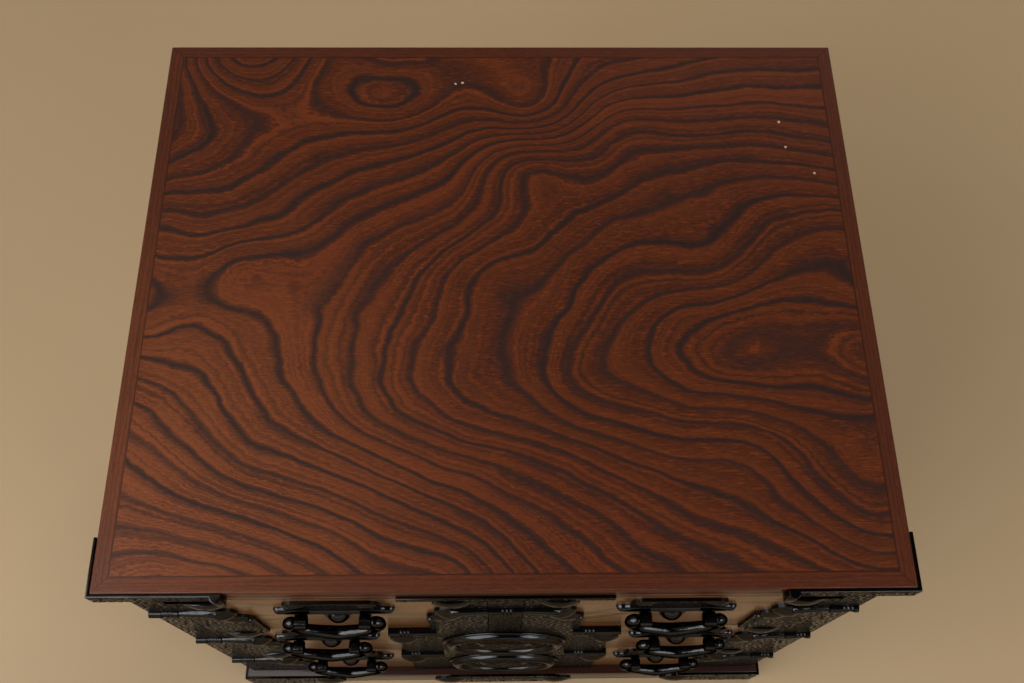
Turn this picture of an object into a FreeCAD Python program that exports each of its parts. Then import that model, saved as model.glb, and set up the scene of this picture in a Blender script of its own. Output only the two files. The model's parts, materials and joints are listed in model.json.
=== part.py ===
import FreeCAD, Part
import math
import os
import re

import Sketcher

# Small tansu chest with three rows of drawers, millimetres.
# +X right, +Y to the back, +Z up. The front faces -Y and the floor is Z = 0.

SIZES = {
    # case
    "slab_width": 606.0,
    "slab_depth": 497.0,
    "slab_thick": 18.0,
    "slab_overhang": 28.0,
    "slab_arris": 1.0,
    "total_height": 498.0,
    "plinth_height": 52.0,
    "plinth_project": 9.0,
    "plinth_thick": 20.0,
    "side_thick": 20.0,
    "back_thick": 9.0,
    "bottom_thick": 12.0,
    "divider_thick": 12.0,
    "rail_height": 9.0,
    "rail_depth": 45.0,
    "post_width": 27.0,
    "post_depth": 40.0,
    "partition_thick": 12.0,
    # drawers
    "front_thick": 18.0,
    "front_gap": 1.2,
    "side_gap": 0.8,
    "front_arris": 0.8,
    "set_back": 1.0,
    "slide_gap": 0.3,
    "head_gap": 3.0,
    "box_gap": 1.2,
    "box_side": 9.0,
    "box_bottom": 6.0,
    "box_lower": 14.0,
    "rear_gap": 30.0,
    # ironwork on the case
    "plate_thick": 2.6,
    "edge_leg": 96.0,
    "edge_return": 42.0,
    "post_return": 26.0,
    "post_break": 31.0,
    "break_gap": 2.0,
    "band_radius": 4.2,
    "band_block": 9.5,
    "band_neck": 3.4,
    "band_neck_run": 10.0,
    "band_root": 3.2,
    "band_swell": 5.0,
    "floor_gap": 1.0,
    "plinth_leg": 88.0,
    "plinth_return": 60.0,
    "plinth_plate": 154.0,
    "plinth_lobe": 18.0,
    "rail_plate": 165.0,
    "knob_radius": 4.5,
    # corner fittings of a drawer
    "lobe_radius": 15.0,
    "lobe_drop": 9.0,
    "lobe_dome": 3.2,
    "lobe_centre": 27.0,
    "eye_lobe_radius": 13.5,
    "eye_lobe_drop": 46.0,
    "eye_lobe_dome": 5.4,
    "eye_lobe_centre": 29.0,
    "skirt_width": 36.0,
    "skirt_drop": 72.0,
    "skirt_radius": 14.0,
    "skirt_dome": 3.0,
    "skirt_knob": 3.6,
    "dome_rim": 0.6,
    # lock plates
    "lock_width": 194.0,
    "lock_ear": 204.0,
    "lock_ear_high": 12.0,
    "lock_band_start": 60.0,
    "lock_lobe_radius": 13.0,
    "lock_lobe_drop": 50.0,
    "lock_lobe_out": 92.0,
    "lock_lobe_dome": 4.0,
    "disc_clear": 11.73,
    "disc_margin": 3.0,
    "disc_rim": 5.0,
    "disc_flange": 1.6,
    "disc_field": 2.2,
    # handles
    "handle_offset": 160.0,
    "bar_length": 95.0,
    "bar_radius": 5.0,
    "bar_drop": 36.0,
    "crest_width": 74.0,
    "crest_top": 6.0,
    "crest_round": 9.0,
    "crest_dome": 2.4,
    "tongue_radius": 10.0,
    "tongue_drop": 63.0,
    "tongue_dome": 5.0,
    "eye_spacing": 50.0,
    "eye_radius": 6.0,
    "eye_width": 9.0,
    "eye_proud": 11.2,
    "shank_side": 4.6,
    "shank_gap": 0.1,
    "shank_tail": 3.0,
    "drill_over": 1.0,
    "pin_radius": 2.6,
    "pin_gap": 0.08,
    "pin_inset": 1.5,
    "bail_gap": 0.6,
    "bail_drop": 38.0,
    "bail_lean": 3.6,
    "bail_end": 4.4,
    "bail_middle": 5.4,
}

doc = FreeCAD.newDocument("small_tansu_chest")
sheet = doc.addObject("Spreadsheet::Sheet", "Sizes")
for row, (word, size) in enumerate(SIZES.items(), start=1):
    sheet.set("A%d" % row, word)
    sheet.set("B%d" % row, repr(size))
    sheet.setAlias("B%d" % row, word)
doc.recompute()

# Worked-out sizes, as expressions of the named ones.
CASE_HALF = "(slab_width / 2 - slab_overhang)"
CASE_WIDTH = "(2 * %s)" % CASE_HALF
INNER_HALF = "(%s - side_thick)" % CASE_HALF
SLAB_UNDER = "(total_height - slab_thick)"
CASE_HIGH = "(%s - plinth_height)" % SLAB_UNDER
PITCH = "((%s - rail_height) / 3)" % CASE_HIGH
FRONT_HIGH = "(%s - front_gap)" % PITCH
REACH = "(eye_proud + bail_lean + bail_middle)"
FRONT = "((%s - slab_depth) / 2)" % REACH
REAR = "(%s + slab_depth)" % FRONT
INNER_FRONT = "(%s + front_thick + set_back)" % FRONT
BACK_FACE = "(%s - back_thick)" % REAR
PLATE_FACE = "(%s - plate_thick)" % FRONT
DISC_RADIUS = "(%s / 2 - disc_clear)" % FRONT_HIGH
RIM_RUN = "(%s - disc_margin - disc_rim)" % DISC_RADIUS
BAIL_HALF = "(eye_spacing / 2 + eye_width / 2 + bail_end + bail_gap)"
SHANK_HOLE = "(shank_side + 2 * shank_gap)"
ROWS = 3

# Half of a bail's middle line: shares of its half width, and of its drop.
BAIL_OUTLINE = [(1.0, 0.0), (1.04, 0.36), (0.86, 0.70), (0.45, 0.90)]
BAIL_STATIONS = 13
SHOULDER_SHARE = 1.02

ONE_SOLID_EACH = ("Part::Compound", "Part::MultiFuse", "Part::Cut", "Part::Common", "Part::Feature")

WORDS = re.compile(r"\b(%s)\b" % "|".join(SIZES))
ALONG_X = FreeCAD.Rotation(FreeCAD.Vector(0, 1, 0), 90)
FACING = FreeCAD.Rotation(FreeCAD.Vector(1, 0, 0), 90)
HALF_ROUND = FreeCAD.Rotation(FreeCAD.Vector(0, 0, 1), FreeCAD.Vector(0, -1, 0), FreeCAD.Vector(1, 0, 0))
UPRIGHT_ROUND = FreeCAD.Rotation(FreeCAD.Vector(-1, 0, 0), FreeCAD.Vector(0, -1, 0),
                                 FreeCAD.Vector(0, 0, 1))

nodes = []


def bound(text):
    """The expression with each named size pointed at its cell."""
    return WORDS.sub(r"Sizes.\1", str(text))


def number(text):
    """The same expression worked out, for the few shapes made by Part's functions."""
    return float(sheet.evalExpression(bound(text)))


def place(piece, at, turn=None):
    """Put a piece at three expressions, turned first where a turn is given."""
    if turn is not None:
        piece.Placement = FreeCAD.Placement(FreeCAD.Vector(), turn)
    for axis, text in zip("xyz", at):
        piece.setExpression("Placement.Base." + axis, bound(text))
    return piece


def keep(piece, label):
    """Name a finished sub-part and list it for export."""
    piece.Label = label
    nodes.append(piece)
    return piece


def box(name, low, size):
    """A board or plate from its lowest corner and its three sizes."""
    piece = doc.addObject("Part::Box", name)
    for side, text in zip(("Length", "Width", "Height"), size):
        piece.setExpression(side, bound(text))
    return place(piece, low)


def centred_box(name, x, low_y, low_z, size):
    """A box whose middle is at x."""
    return box(name, ("%s - %s / 2" % (x, size[0]), low_y, low_z), size)


def rod(name, at, radius, length, turn):
    """A round bar."""
    piece = doc.addObject("Part::Cylinder", name)
    piece.setExpression("Radius", bound(radius))
    piece.setExpression("Height", bound(length))
    return place(piece, at, turn)


def ridge(name, at, radius, length, turn=HALF_ROUND):
    """A half-round moulding standing on a face that looks forward."""
    piece = rod(name, at, radius, length, turn)
    piece.Angle = 180
    return piece


def band(name, low_x, run, z):
    """A half-round band along a plate's top edge, with a thinner neck for its beads."""
    neck_x = "(%s + band_block)" % low_x
    last_x = "(%s + band_neck_run)" % neck_x
    return [ridge(name + "_block", (low_x, PLATE_FACE, z), "band_radius", "band_block"),
            ridge(name + "_neck", (neck_x, PLATE_FACE, z), "band_neck", "band_neck_run"),
            ridge(name + "_rest", (last_x, PLATE_FACE, z), "band_radius",
                  "(%s - band_block - band_neck_run)" % run)]


def half_cone(name, at, low_radius, high_radius, length):
    """A half-round taper standing on a face that looks forward, from its low end to its high end in X."""
    piece = doc.addObject("Part::Cone", name)
    piece.setExpression("Radius1", bound(low_radius))
    piece.setExpression("Radius2", bound(high_radius))
    piece.setExpression("Height", bound(length))
    piece.Angle = 180
    return place(piece, at, HALF_ROUND)


def half_ball(name, at, radius):
    """The front half of a ball whose middle is on a face that looks forward."""
    piece = doc.addObject("Part::Sphere", name)
    piece.setExpression("Radius", bound(radius))
    piece.Angle3 = 180
    return place(piece, at, HALF_ROUND)


def dome(name, at, lobe, high):
    """A low round dome on a lobe that looks forward, with a narrow flat rim left round it."""
    ball = "(((%s - dome_rim) ^ 2 + %s ^ 2) / (2 * %s))" % (lobe, high, high)
    piece = doc.addObject("Part::Sphere", name)
    piece.setExpression("Radius", bound(ball))
    piece.setExpression("Angle1", bound("asin(1 - %s / %s)" % (high, ball)))
    return place(piece, (at[0], "%s + %s - %s" % (at[1], ball, high), at[2]), FACING)


def fuse(name, pieces):
    """Several forms made one solid. A single form is already one."""
    if len(pieces) == 1:
        return pieces[0]
    whole = doc.addObject("Part::MultiFuse", name)
    whole.Shapes = pieces
    whole.Refine = True
    return whole


def cut(name, base, tool):
    """One form less another."""
    left = doc.addObject("Part::Cut", name)
    left.Base = base
    left.Tool = tool
    left.Refine = True
    return left


def common(name, base, tool):
    """What two forms share."""
    shared = doc.addObject("Part::Common", name)
    shared.Base = base
    shared.Tool = tool
    shared.Refine = True
    return shared


def mirrored(name, piece, middle):
    """The same form on the other side of an upright plane across X."""
    twin = doc.addObject("Part::Mirroring", name)
    twin.Source = piece
    twin.Normal = FreeCAD.Vector(1, 0, 0)
    twin.setExpression("Base.x", bound(middle))
    return twin


def group(name, pieces):
    """Alike pieces kept apart but listed as one sub-part."""
    gathered = doc.addObject("Part::Compound", name)
    gathered.Links = pieces
    return gathered


def sketch(body, name, plane):
    """An empty sketch on one of the body's own origin planes."""
    flat = body.newObject("Sketcher::SketchObject", name)
    support = [feature for feature in body.Origin.OriginFeatures if feature.Role == plane][0]
    flat.AttachmentSupport = [(support, "")]
    flat.MapMode = "FlatFace"
    return flat


def rectangle(flat, size, low=None):
    """A rectangle in a sketch, from its lowest corner or the origin, with its sizes bound."""
    left, foot = (0.0, 0.0) if low is None else (number(low[0]), number(low[1]))
    right, head = left + number(size[0]), foot + number(size[1])
    corners = [FreeCAD.Vector(left, foot, 0), FreeCAD.Vector(right, foot, 0),
               FreeCAD.Vector(right, head, 0), FreeCAD.Vector(left, head, 0)]
    lines = [flat.addGeometry(Part.LineSegment(start, end))
             for start, end in zip(corners, corners[1:] + corners[:1])]
    for index, line in enumerate(lines):
        flat.addConstraint(Sketcher.Constraint("Coincident", line, 2, lines[(index + 1) % 4], 1))
        flat.addConstraint(Sketcher.Constraint("Vertical" if index % 2 else "Horizontal", line))
    measures = [("DistanceX", lines[0], size[0]), ("DistanceY", lines[1], size[1])]
    ends = [(line, 1, line, 2) for line in lines[:2]]
    if low is None:
        flat.addConstraint(Sketcher.Constraint("Coincident", lines[0], 1, -1, 1))
    else:
        measures += [("DistanceX", lines[0], low[0]), ("DistanceY", lines[0], low[1])]
        ends += [(-1, 1, lines[0], 1)] * 2
    for (kind, line, text), end in zip(measures, ends):
        index = flat.addConstraint(Sketcher.Constraint(kind, *end, number(text)))
        flat.setExpression("Constraints[%d]" % index, bound(text))


def padded(name, low, size, plane, holes=()):
    """A PartDesign board: a padded rectangle, with square holes where they are given."""
    body = doc.addObject("PartDesign::Body", name)
    place(body, low)
    outline = sketch(body, name + "_outline", plane)
    rectangle(outline, size[:2])
    pad = body.newObject("PartDesign::Pad", name + "_pad")
    pad.Profile = outline
    pad.setExpression("Length", bound(size[2]))
    if holes:
        drilled = sketch(body, name + "_drilled", plane)
        for across, up, wide in holes:
            rectangle(drilled, (wide, wide), ("%s - %s / 2" % (across, wide), "%s - %s / 2" % (up, wide)))
        pocket = body.newObject("PartDesign::Pocket", name + "_holes")
        pocket.Profile = drilled
        pocket.Type = "ThroughAll"
        pocket.Reversed = True
    doc.recompute()
    return body


def soften(body, name, axis, high, size):
    """Chamfer the rim of the body's face at its highest or lowest level along an axis."""
    base = body.Tip
    bounds = base.Shape.BoundBox
    level = getattr(bounds, axis.upper() + ("Max" if high else "Min"))
    straight = []
    for index, edge in enumerate(base.Shape.Edges, start=1):
        on_level = all(abs(getattr(vertex.Point, axis) - level) < 1e-6 for vertex in edge.Vertexes)
        if on_level and edge.Curve.TypeId == "Part::GeomLine":
            straight.append("Edge%d" % index)
    rim = body.newObject("PartDesign::Chamfer", name + "_arris")
    rim.Base = (base, straight)
    rim.setExpression("Size", bound(size))
    doc.recompute()
    return body


def row_top(row):
    """Top edge of a row of drawer fronts."""
    return "(%s - rail_height - %d * %s)" % (SLAB_UNDER, row, PITCH)


# ---- wooden case ----

def make_case():
    slab = padded("top_panel", ("-slab_width / 2", FRONT, SLAB_UNDER),
                  ("slab_width", "slab_depth", "slab_thick"), "XY_Plane")
    keep(soften(slab, "top_panel", "z", True, "slab_arris"), "top_panel")
    inner_depth = "(%s - %s)" % (BACK_FACE, INNER_FRONT)
    for side, low in (("left", "-%s" % CASE_HALF), ("right", INNER_HALF)):
        board = box("side_" + side, (low, FRONT, "plinth_height"), ("side_thick", "slab_depth", CASE_HIGH))
        keep(board, "side_" + side)
    keep(box("back_panel", ("-%s" % INNER_HALF, BACK_FACE, "plinth_height"),
             ("2 * %s" % INNER_HALF, "back_thick", CASE_HIGH)), "back_panel")
    keep(box("bottom_board", ("-%s" % INNER_HALF, INNER_FRONT, "plinth_height"),
             ("2 * %s" % INNER_HALF, inner_depth, "bottom_thick")), "bottom_board")
    keep(box("top_rail", ("-%s" % INNER_HALF, FRONT, row_top(0)),
             ("2 * %s" % INNER_HALF, "rail_depth", "rail_height")), "top_rail")
    for row, label in ((1, "divider_upper"), (2, "divider_lower")):
        low = "%s - divider_thick / 2" % row_top(row)
        keep(box(label, ("-%s" % INNER_HALF, INNER_FRONT, low),
                 ("2 * %s" % INNER_HALF, inner_depth, "divider_thick")), label)
    post_foot = "(%s + divider_thick / 2)" % row_top(1)
    post_high = "(%s - %s)" % (row_top(0), post_foot)
    nose_high = "(%s - %s - front_gap)" % (row_top(0), row_top(1))
    nose = centred_box("post_nose", "0", FRONT, "%s + front_gap" % row_top(1),
                       ("post_width", "front_thick", nose_high))
    trunk = centred_box("post_trunk", "0", "%s + front_thick" % FRONT, post_foot,
                        ("post_width", "post_depth - front_thick", post_high))
    wall = centred_box("post_wall", "0", "%s + post_depth" % FRONT, post_foot,
                       ("partition_thick", "%s - %s - post_depth" % (BACK_FACE, FRONT), post_high))
    keep(fuse("centre_post", [nose, trunk, wall]), "centre_post")


def make_plinth():
    out = "(%s + plinth_project)" % CASE_HALF
    front = "(%s - plinth_project)" % FRONT
    keep(box("plinth_front", ("-%s" % out, front, "0"),
             ("2 * %s" % out, "plinth_thick", "plinth_height")), "plinth_front")
    keep(box("plinth_back", ("-%s" % out, "%s - plinth_thick" % REAR, "0"),
             ("2 * %s" % out, "plinth_thick", "plinth_height")), "plinth_back")
    run = "(%s - %s - 2 * plinth_thick)" % (REAR, front)
    for side, low in (("left", "-%s" % out), ("right", "%s - plinth_thick" % out)):
        keep(box("plinth_" + side, (low, "%s + plinth_thick" % front, "0"),
                 ("plinth_thick", run, "plinth_height")), "plinth_" + side)


# ---- ironwork on the case ----

def angle_iron(name, sign, corner_x, face_y, low_z, leg, turned, high):
    """A plate bent round a front corner: a leg along the front and a return along the side."""
    out = "(%s + plate_thick)" % corner_x
    front_low = "-%s" % out if sign < 0 else "%s - %s" % (corner_x, leg)
    side_low = "-%s" % out if sign < 0 else corner_x
    front = box(name + "_leg", (front_low, "%s - plate_thick" % face_y, low_z),
                ("%s + plate_thick" % leg, "plate_thick", high))
    back = box(name + "_return", (side_low, face_y, low_z), ("plate_thick", turned, high))
    return [front, back]


def make_slab_irons():
    for sign, side in ((-1, "left"), (1, "right")):
        name = "slab_corner_" + side
        forms = angle_iron(name, sign, "slab_width / 2", FRONT, SLAB_UNDER,
                           "edge_leg", "edge_return", "slab_thick")
        knob_x = "%d * (slab_width / 2 - edge_leg + knob_radius)" % sign
        forms.append(ridge(name + "_knob", (knob_x, PLATE_FACE, SLAB_UNDER), "knob_radius", "slab_thick",
                           UPRIGHT_ROUND))
        keep(fuse(name, forms), name)
    keep(centred_box("rail_plate", "0", PLATE_FACE, row_top(0),
                     ("rail_plate", "plate_thick", "rail_height")), "rail_plate")


def post_levels():
    """Top and bottom of each post plate, broken below the top of every row."""
    tops = [SLAB_UNDER] + ["(%s - post_break - break_gap)" % row_top(row) for row in range(ROWS)]
    feet = ["(%s - post_break)" % row_top(row) for row in range(ROWS)] + ["plinth_height"]
    return list(zip(tops, feet))


def make_post_irons():
    for sign, side in ((-1, "left"), (1, "right")):
        name = "post_plates_" + side
        plates = []
        for index, (top, foot) in enumerate(post_levels()):
            part = "%s_%d" % (name, index)
            high = "%s - %s" % (top, foot)
            forms = angle_iron(part, sign, CASE_HALF, FRONT, foot, "side_thick", "post_return", high)
            if index:
                low_x = "(-%s - plate_thick)" % CASE_HALF if sign < 0 else INNER_HALF
                forms += band(part + "_band", low_x, "(side_thick + plate_thick)", "%s - band_radius" % top)
            plates.append(fuse(part, forms))
        keep(group(name, plates), name)
    plates = []
    levels = [(row_top(0), "(%s - post_break)" % row_top(0)),
              ("(%s - post_break - break_gap)" % row_top(0), "(%s + front_gap)" % row_top(1))]
    for index, (top, foot) in enumerate(levels):
        part = "centre_post_plates_%d" % index
        forms = [centred_box(part + "_strip", "0", PLATE_FACE, foot,
                             ("post_width", "plate_thick", "%s - %s" % (top, foot)))]
        if index:
            forms += band(part + "_band", "(-post_width / 2)", "post_width", "%s - band_radius" % top)
        plates.append(fuse(part, forms))
    keep(group("centre_post_plates", plates), "centre_post_plates")


def make_plinth_irons():
    corner = "(%s + plinth_project)" % CASE_HALF
    face = "(%s - plinth_project)" % FRONT
    high = "plinth_height - floor_gap"
    middle = "floor_gap + (plinth_height - floor_gap) / 2"
    for sign, side in ((-1, "left"), (1, "right")):
        name = "plinth_corner_" + side
        forms = angle_iron(name, sign, corner, face, "floor_gap", "plinth_leg", "plinth_return", high)
        end_x = "%d * (%s - plinth_leg)" % (sign, corner)
        forms.append(rod(name + "_lobe", (end_x, face, middle), "plinth_lobe", "plate_thick", FACING))
        forms.append(dome(name + "_dome", (end_x, "%s - plate_thick" % face, middle),
                          "plinth_lobe", "lobe_dome"))
        keep(fuse(name, forms), name)
    forms = [centred_box("plinth_plate_middle", "0", "%s - plate_thick" % face, "floor_gap",
                         ("(plinth_plate - 2 * plinth_lobe)", "plate_thick", high))]
    for sign in (-1, 1):
        name = "plinth_plate_%s" % ("left" if sign < 0 else "right")
        end_x = "%d * (plinth_plate / 2 - plinth_lobe)" % sign
        forms.append(rod(name, (end_x, face, middle), "plinth_lobe", "plate_thick", FACING))
        forms.append(dome(name + "_dome", (end_x, "%s - plate_thick" % face, middle),
                          "plinth_lobe", "lobe_dome"))
    keep(fuse("plinth_centre_plate", forms), "plinth_centre_plate")


# ---- drawers ----

def corner_irons(name, seam, row):
    """Upper and lower fittings at the left side of a drawer front, reaching right from the seam."""
    top = row_top(row)
    foot = "(%s - %s)" % (top, FRONT_HIGH)
    break_top = "(%s - post_break - break_gap)" % top

    def across(distance):
        return "(%s + %s)" % (seam, distance)

    def plate(part, reach, high_z, low_z):
        return box(name + part, (seam, PLATE_FACE, low_z),
                   (reach, "plate_thick", "%s - %s" % (high_z, low_z)))

    upper = [
        plate("_upper_plate", "lobe_centre", top, "(%s - post_break)" % top),
        rod(name + "_upper_lobe", (across("lobe_centre"), FRONT, "%s - lobe_drop" % top),
            "lobe_radius", "plate_thick", FACING),
        dome(name + "_upper_dome", (across("lobe_centre"), PLATE_FACE, "%s - lobe_drop" % top),
             "lobe_radius", "lobe_dome"),
    ]
    window = box(name + "_upper_window", (seam, "%s - lobe_dome" % PLATE_FACE, foot),
                 ("(lobe_centre + lobe_radius)", "plate_thick + lobe_dome", FRONT_HIGH))
    upper_whole = common(name + "_upper", fuse(name + "_upper_forms", upper), window)
    skirt_edge = across("skirt_width")
    skirt_tip = across("(skirt_width + skirt_radius - skirt_knob - dome_rim)")
    lower = [
        plate("_lower_plate", "eye_lobe_centre", break_top, foot),
        plate("_lower_skirt", "(skirt_width + skirt_radius)", "(%s - skirt_drop)" % top, foot),
        half_cone(name + "_lower_band", (seam, PLATE_FACE, "%s - band_radius" % break_top),
                  "band_root", "band_swell", "eye_lobe_centre"),
        rod(name + "_lower_lobe", (across("eye_lobe_centre"), FRONT, "%s - eye_lobe_drop" % top),
            "eye_lobe_radius", "plate_thick", FACING),
        dome(name + "_lower_dome", (across("eye_lobe_centre"), PLATE_FACE, "%s - eye_lobe_drop" % top),
             "eye_lobe_radius", "eye_lobe_dome"),
        rod(name + "_skirt_lobe", (skirt_edge, FRONT, "%s - skirt_drop" % top),
            "skirt_radius", "plate_thick", FACING),
        dome(name + "_skirt_dome", (skirt_edge, PLATE_FACE, "%s - skirt_drop" % top),
             "skirt_radius", "skirt_dome"),
        half_ball(name + "_skirt_knob", (skirt_tip, PLATE_FACE, "%s - skirt_drop" % top), "skirt_knob"),
    ]
    return [upper_whole, fuse(name + "_lower", lower)]


def lock_irons(name, row):
    """A lock plate as tall as the front, and the round disc on its middle."""
    top = row_top(row)
    foot = "(%s - %s)" % (top, FRONT_HIGH)
    forms = [
        centred_box(name + "_field", "0", PLATE_FACE, foot, ("lock_width", "plate_thick", FRONT_HIGH)),
        centred_box(name + "_ears", "0", PLATE_FACE, "%s - lock_ear_high" % top,
                    ("lock_ear", "plate_thick", "lock_ear_high")),
    ]
    for sign, side in ((-1, "left"), (1, "right")):
        at = "%d * lock_lobe_out" % sign
        part = "%s_lobe_%s" % (name, side)
        forms.append(rod(part, (at, FRONT, "%s - lock_lobe_drop" % top),
                         "lock_lobe_radius", "plate_thick", FACING))
        forms.append(dome(part + "_dome", (at, PLATE_FACE, "%s - lock_lobe_drop" % top),
                          "lock_lobe_radius", "lock_lobe_dome"))
        band_low = "(-lock_ear / 2)" if sign < 0 else "lock_band_start"
        forms += band("%s_band_%s" % (name, side), band_low, "(lock_ear / 2 - lock_band_start)",
                      "%s - band_radius" % top)
    middle = "(%s - %s / 2)" % (top, FRONT_HIGH)
    seat = rod(name + "_seat", ("0", PLATE_FACE, middle), DISC_RADIUS, "lock_lobe_dome", FACING)
    keep(cut(name + "_lock_plate", fuse(name + "_lock_forms", forms), seat), name + "_lock_plate")
    flange = rod(name + "_flange", ("0", PLATE_FACE, middle), DISC_RADIUS, "disc_flange", FACING)
    face = "(%s - disc_flange)" % PLATE_FACE
    ring = doc.addObject("Part::Torus", name + "_rim")
    ring.setExpression("Radius1", bound(RIM_RUN))
    ring.setExpression("Radius2", bound("disc_rim"))
    ring.Angle1 = -180
    ring.Angle2 = 0
    place(ring, ("0", face, middle), FACING)
    field = dome(name + "_disc_field", ("0", face, middle), RIM_RUN, "disc_field")
    keep(fuse(name + "_lock_disc", [flange, ring, field]), name + "_lock_disc")


def handle_plate(name, x, row):
    """A handle's back plate: crest, long half-round bar and hanging tongue."""
    top = row_top(row)
    bar_z = "(%s - bar_drop)" % top
    crest_low = "(%s - bar_drop)" % top
    crest_high = "(bar_drop - crest_top)"
    forms = [
        centred_box(name + "_crest", x, PLATE_FACE, crest_low,
                    ("(crest_width - 2 * crest_round)", "plate_thick", crest_high)),
        centred_box(name + "_shoulder", x, PLATE_FACE, crest_low,
                    ("crest_width", "plate_thick", "(%s - crest_round)" % crest_high)),
        ridge(name + "_bar", ("%s - bar_length / 2 + bar_radius" % x, FRONT, bar_z), "bar_radius",
              "(bar_length - 2 * bar_radius)"),
        centred_box(name + "_tongue", x, PLATE_FACE, "%s - tongue_drop" % top,
                    ("(2 * tongue_radius)", "plate_thick", "(tongue_drop - bar_drop)")),
        rod(name + "_tongue_end", (x, FRONT, "%s - tongue_drop" % top),
            "tongue_radius", "plate_thick", FACING),
        dome(name + "_tongue_dome", (x, PLATE_FACE, "%s - tongue_drop" % top),
             "tongue_radius", "tongue_dome"),
    ]
    for sign in (-1, 1):
        part = "%s_%s" % (name, "left" if sign < 0 else "right")
        end = "%s + %d * (bar_length / 2 - bar_radius)" % (x, sign)
        forms.append(half_ball(part + "_bar_end", (end, FRONT, bar_z), "bar_radius"))
        at = "(%s + %d * (crest_width / 2 - crest_round))" % (x, sign)
        forms.append(rod(part + "_corner", (at, FRONT, "%s - crest_top - crest_round" % top),
                         "crest_round", "plate_thick", FACING))
        forms.append(dome(part + "_crest_dome", (at, PLATE_FACE, "%s - crest_top - crest_round" % top),
                          "crest_round", "crest_dome"))
    drills = []
    for sign, side in ((-1, "left"), (1, "right")):
        at = "(%s + %d * eye_spacing / 2)" % (x, sign)
        drills.append(centred_box("%s_drill_%s" % (name, side), at,
                                  "%s - bar_radius - drill_over" % FRONT, "%s - %s / 2" % (bar_z, SHANK_HOLE),
                                  (SHANK_HOLE, "(bar_radius + 2 * drill_over)", SHANK_HOLE)))
    return cut(name + "_plate", fuse(name + "_plate_forms", forms), group(name + "_drills", drills))


def handle_posts(name, x, row):
    """Two split-pin posts: an eye in front, a shank through the front, clinched behind."""
    posts = []
    z = "(%s - bar_drop)" % row_top(row)
    for sign in (-1, 1):
        part = "%s_post_%s" % (name, "left" if sign < 0 else "right")
        at = "(%s + %d * eye_spacing / 2)" % (x, sign)
        shank = centred_box(part + "_shank", at, "%s - eye_proud" % FRONT, "%s - shank_side / 2" % z,
                            ("shank_side", "(front_thick + shank_tail + eye_proud)", "shank_side"))
        eye = rod(part + "_eye", ("%s - eye_width / 2" % at, "%s - eye_proud" % FRONT, z), "eye_radius",
                  "eye_width", ALONG_X)
        bore = rod(part + "_bore", ("%s - eye_width" % at, "%s - eye_proud" % FRONT, z),
                   "(pin_radius + pin_gap)", "(2 * eye_width)", ALONG_X)
        posts.append(cut(part, fuse(part + "_forms", [shank, eye]), bore))
    return posts


def bail(name, x, row):
    """The hanging pull: two pins in the eyes, shoulders, and a bow that dips at its middle."""
    centre_x, z = number(x), number("%s - bar_drop" % row_top(row))
    y = number("%s - eye_proud" % FRONT)
    half, drop, lean = number(BAIL_HALF), number("bail_drop"), number("bail_lean")
    thin, thick = number("bail_end"), number("bail_middle")
    outline = [(-across, down) for across, down in BAIL_OUTLINE] + [(0.0, 1.0)] + BAIL_OUTLINE[::-1]
    path = Part.BSplineCurve()
    path.interpolate([FreeCAD.Vector(centre_x + half * across, y - lean * down, z - drop * down)
                      for across, down in outline])
    rings = []
    for index in range(BAIL_STATIONS):
        share = index / (BAIL_STATIONS - 1)
        at = path.FirstParameter + share * (path.LastParameter - path.FirstParameter)
        radius = thin + (thick - thin) * math.sin(math.pi * share)
        rings.append(Part.Wire(Part.Circle(path.value(at), path.tangent(at)[0], radius).toShape()))
    whole = Part.makeLoft(rings, True, False)
    for sign in (-1, 1):
        shoulder = FreeCAD.Vector(centre_x + sign * half, y, z)
        whole = whole.fuse(Part.makeSphere(thin * SHOULDER_SHARE, shoulder))
        inner = centre_x + sign * number("eye_spacing / 2 - eye_width / 2 - pin_inset")
        pin = Part.makeCylinder(number("pin_radius"), abs(shoulder.x - inner), FreeCAD.Vector(inner, y, z),
                                FreeCAD.Vector(sign, 0, 0))
        whole = whole.fuse(pin)
    piece = doc.addObject("Part::Feature", name)
    piece.Shape = whole.removeSplitter()
    return piece


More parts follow.
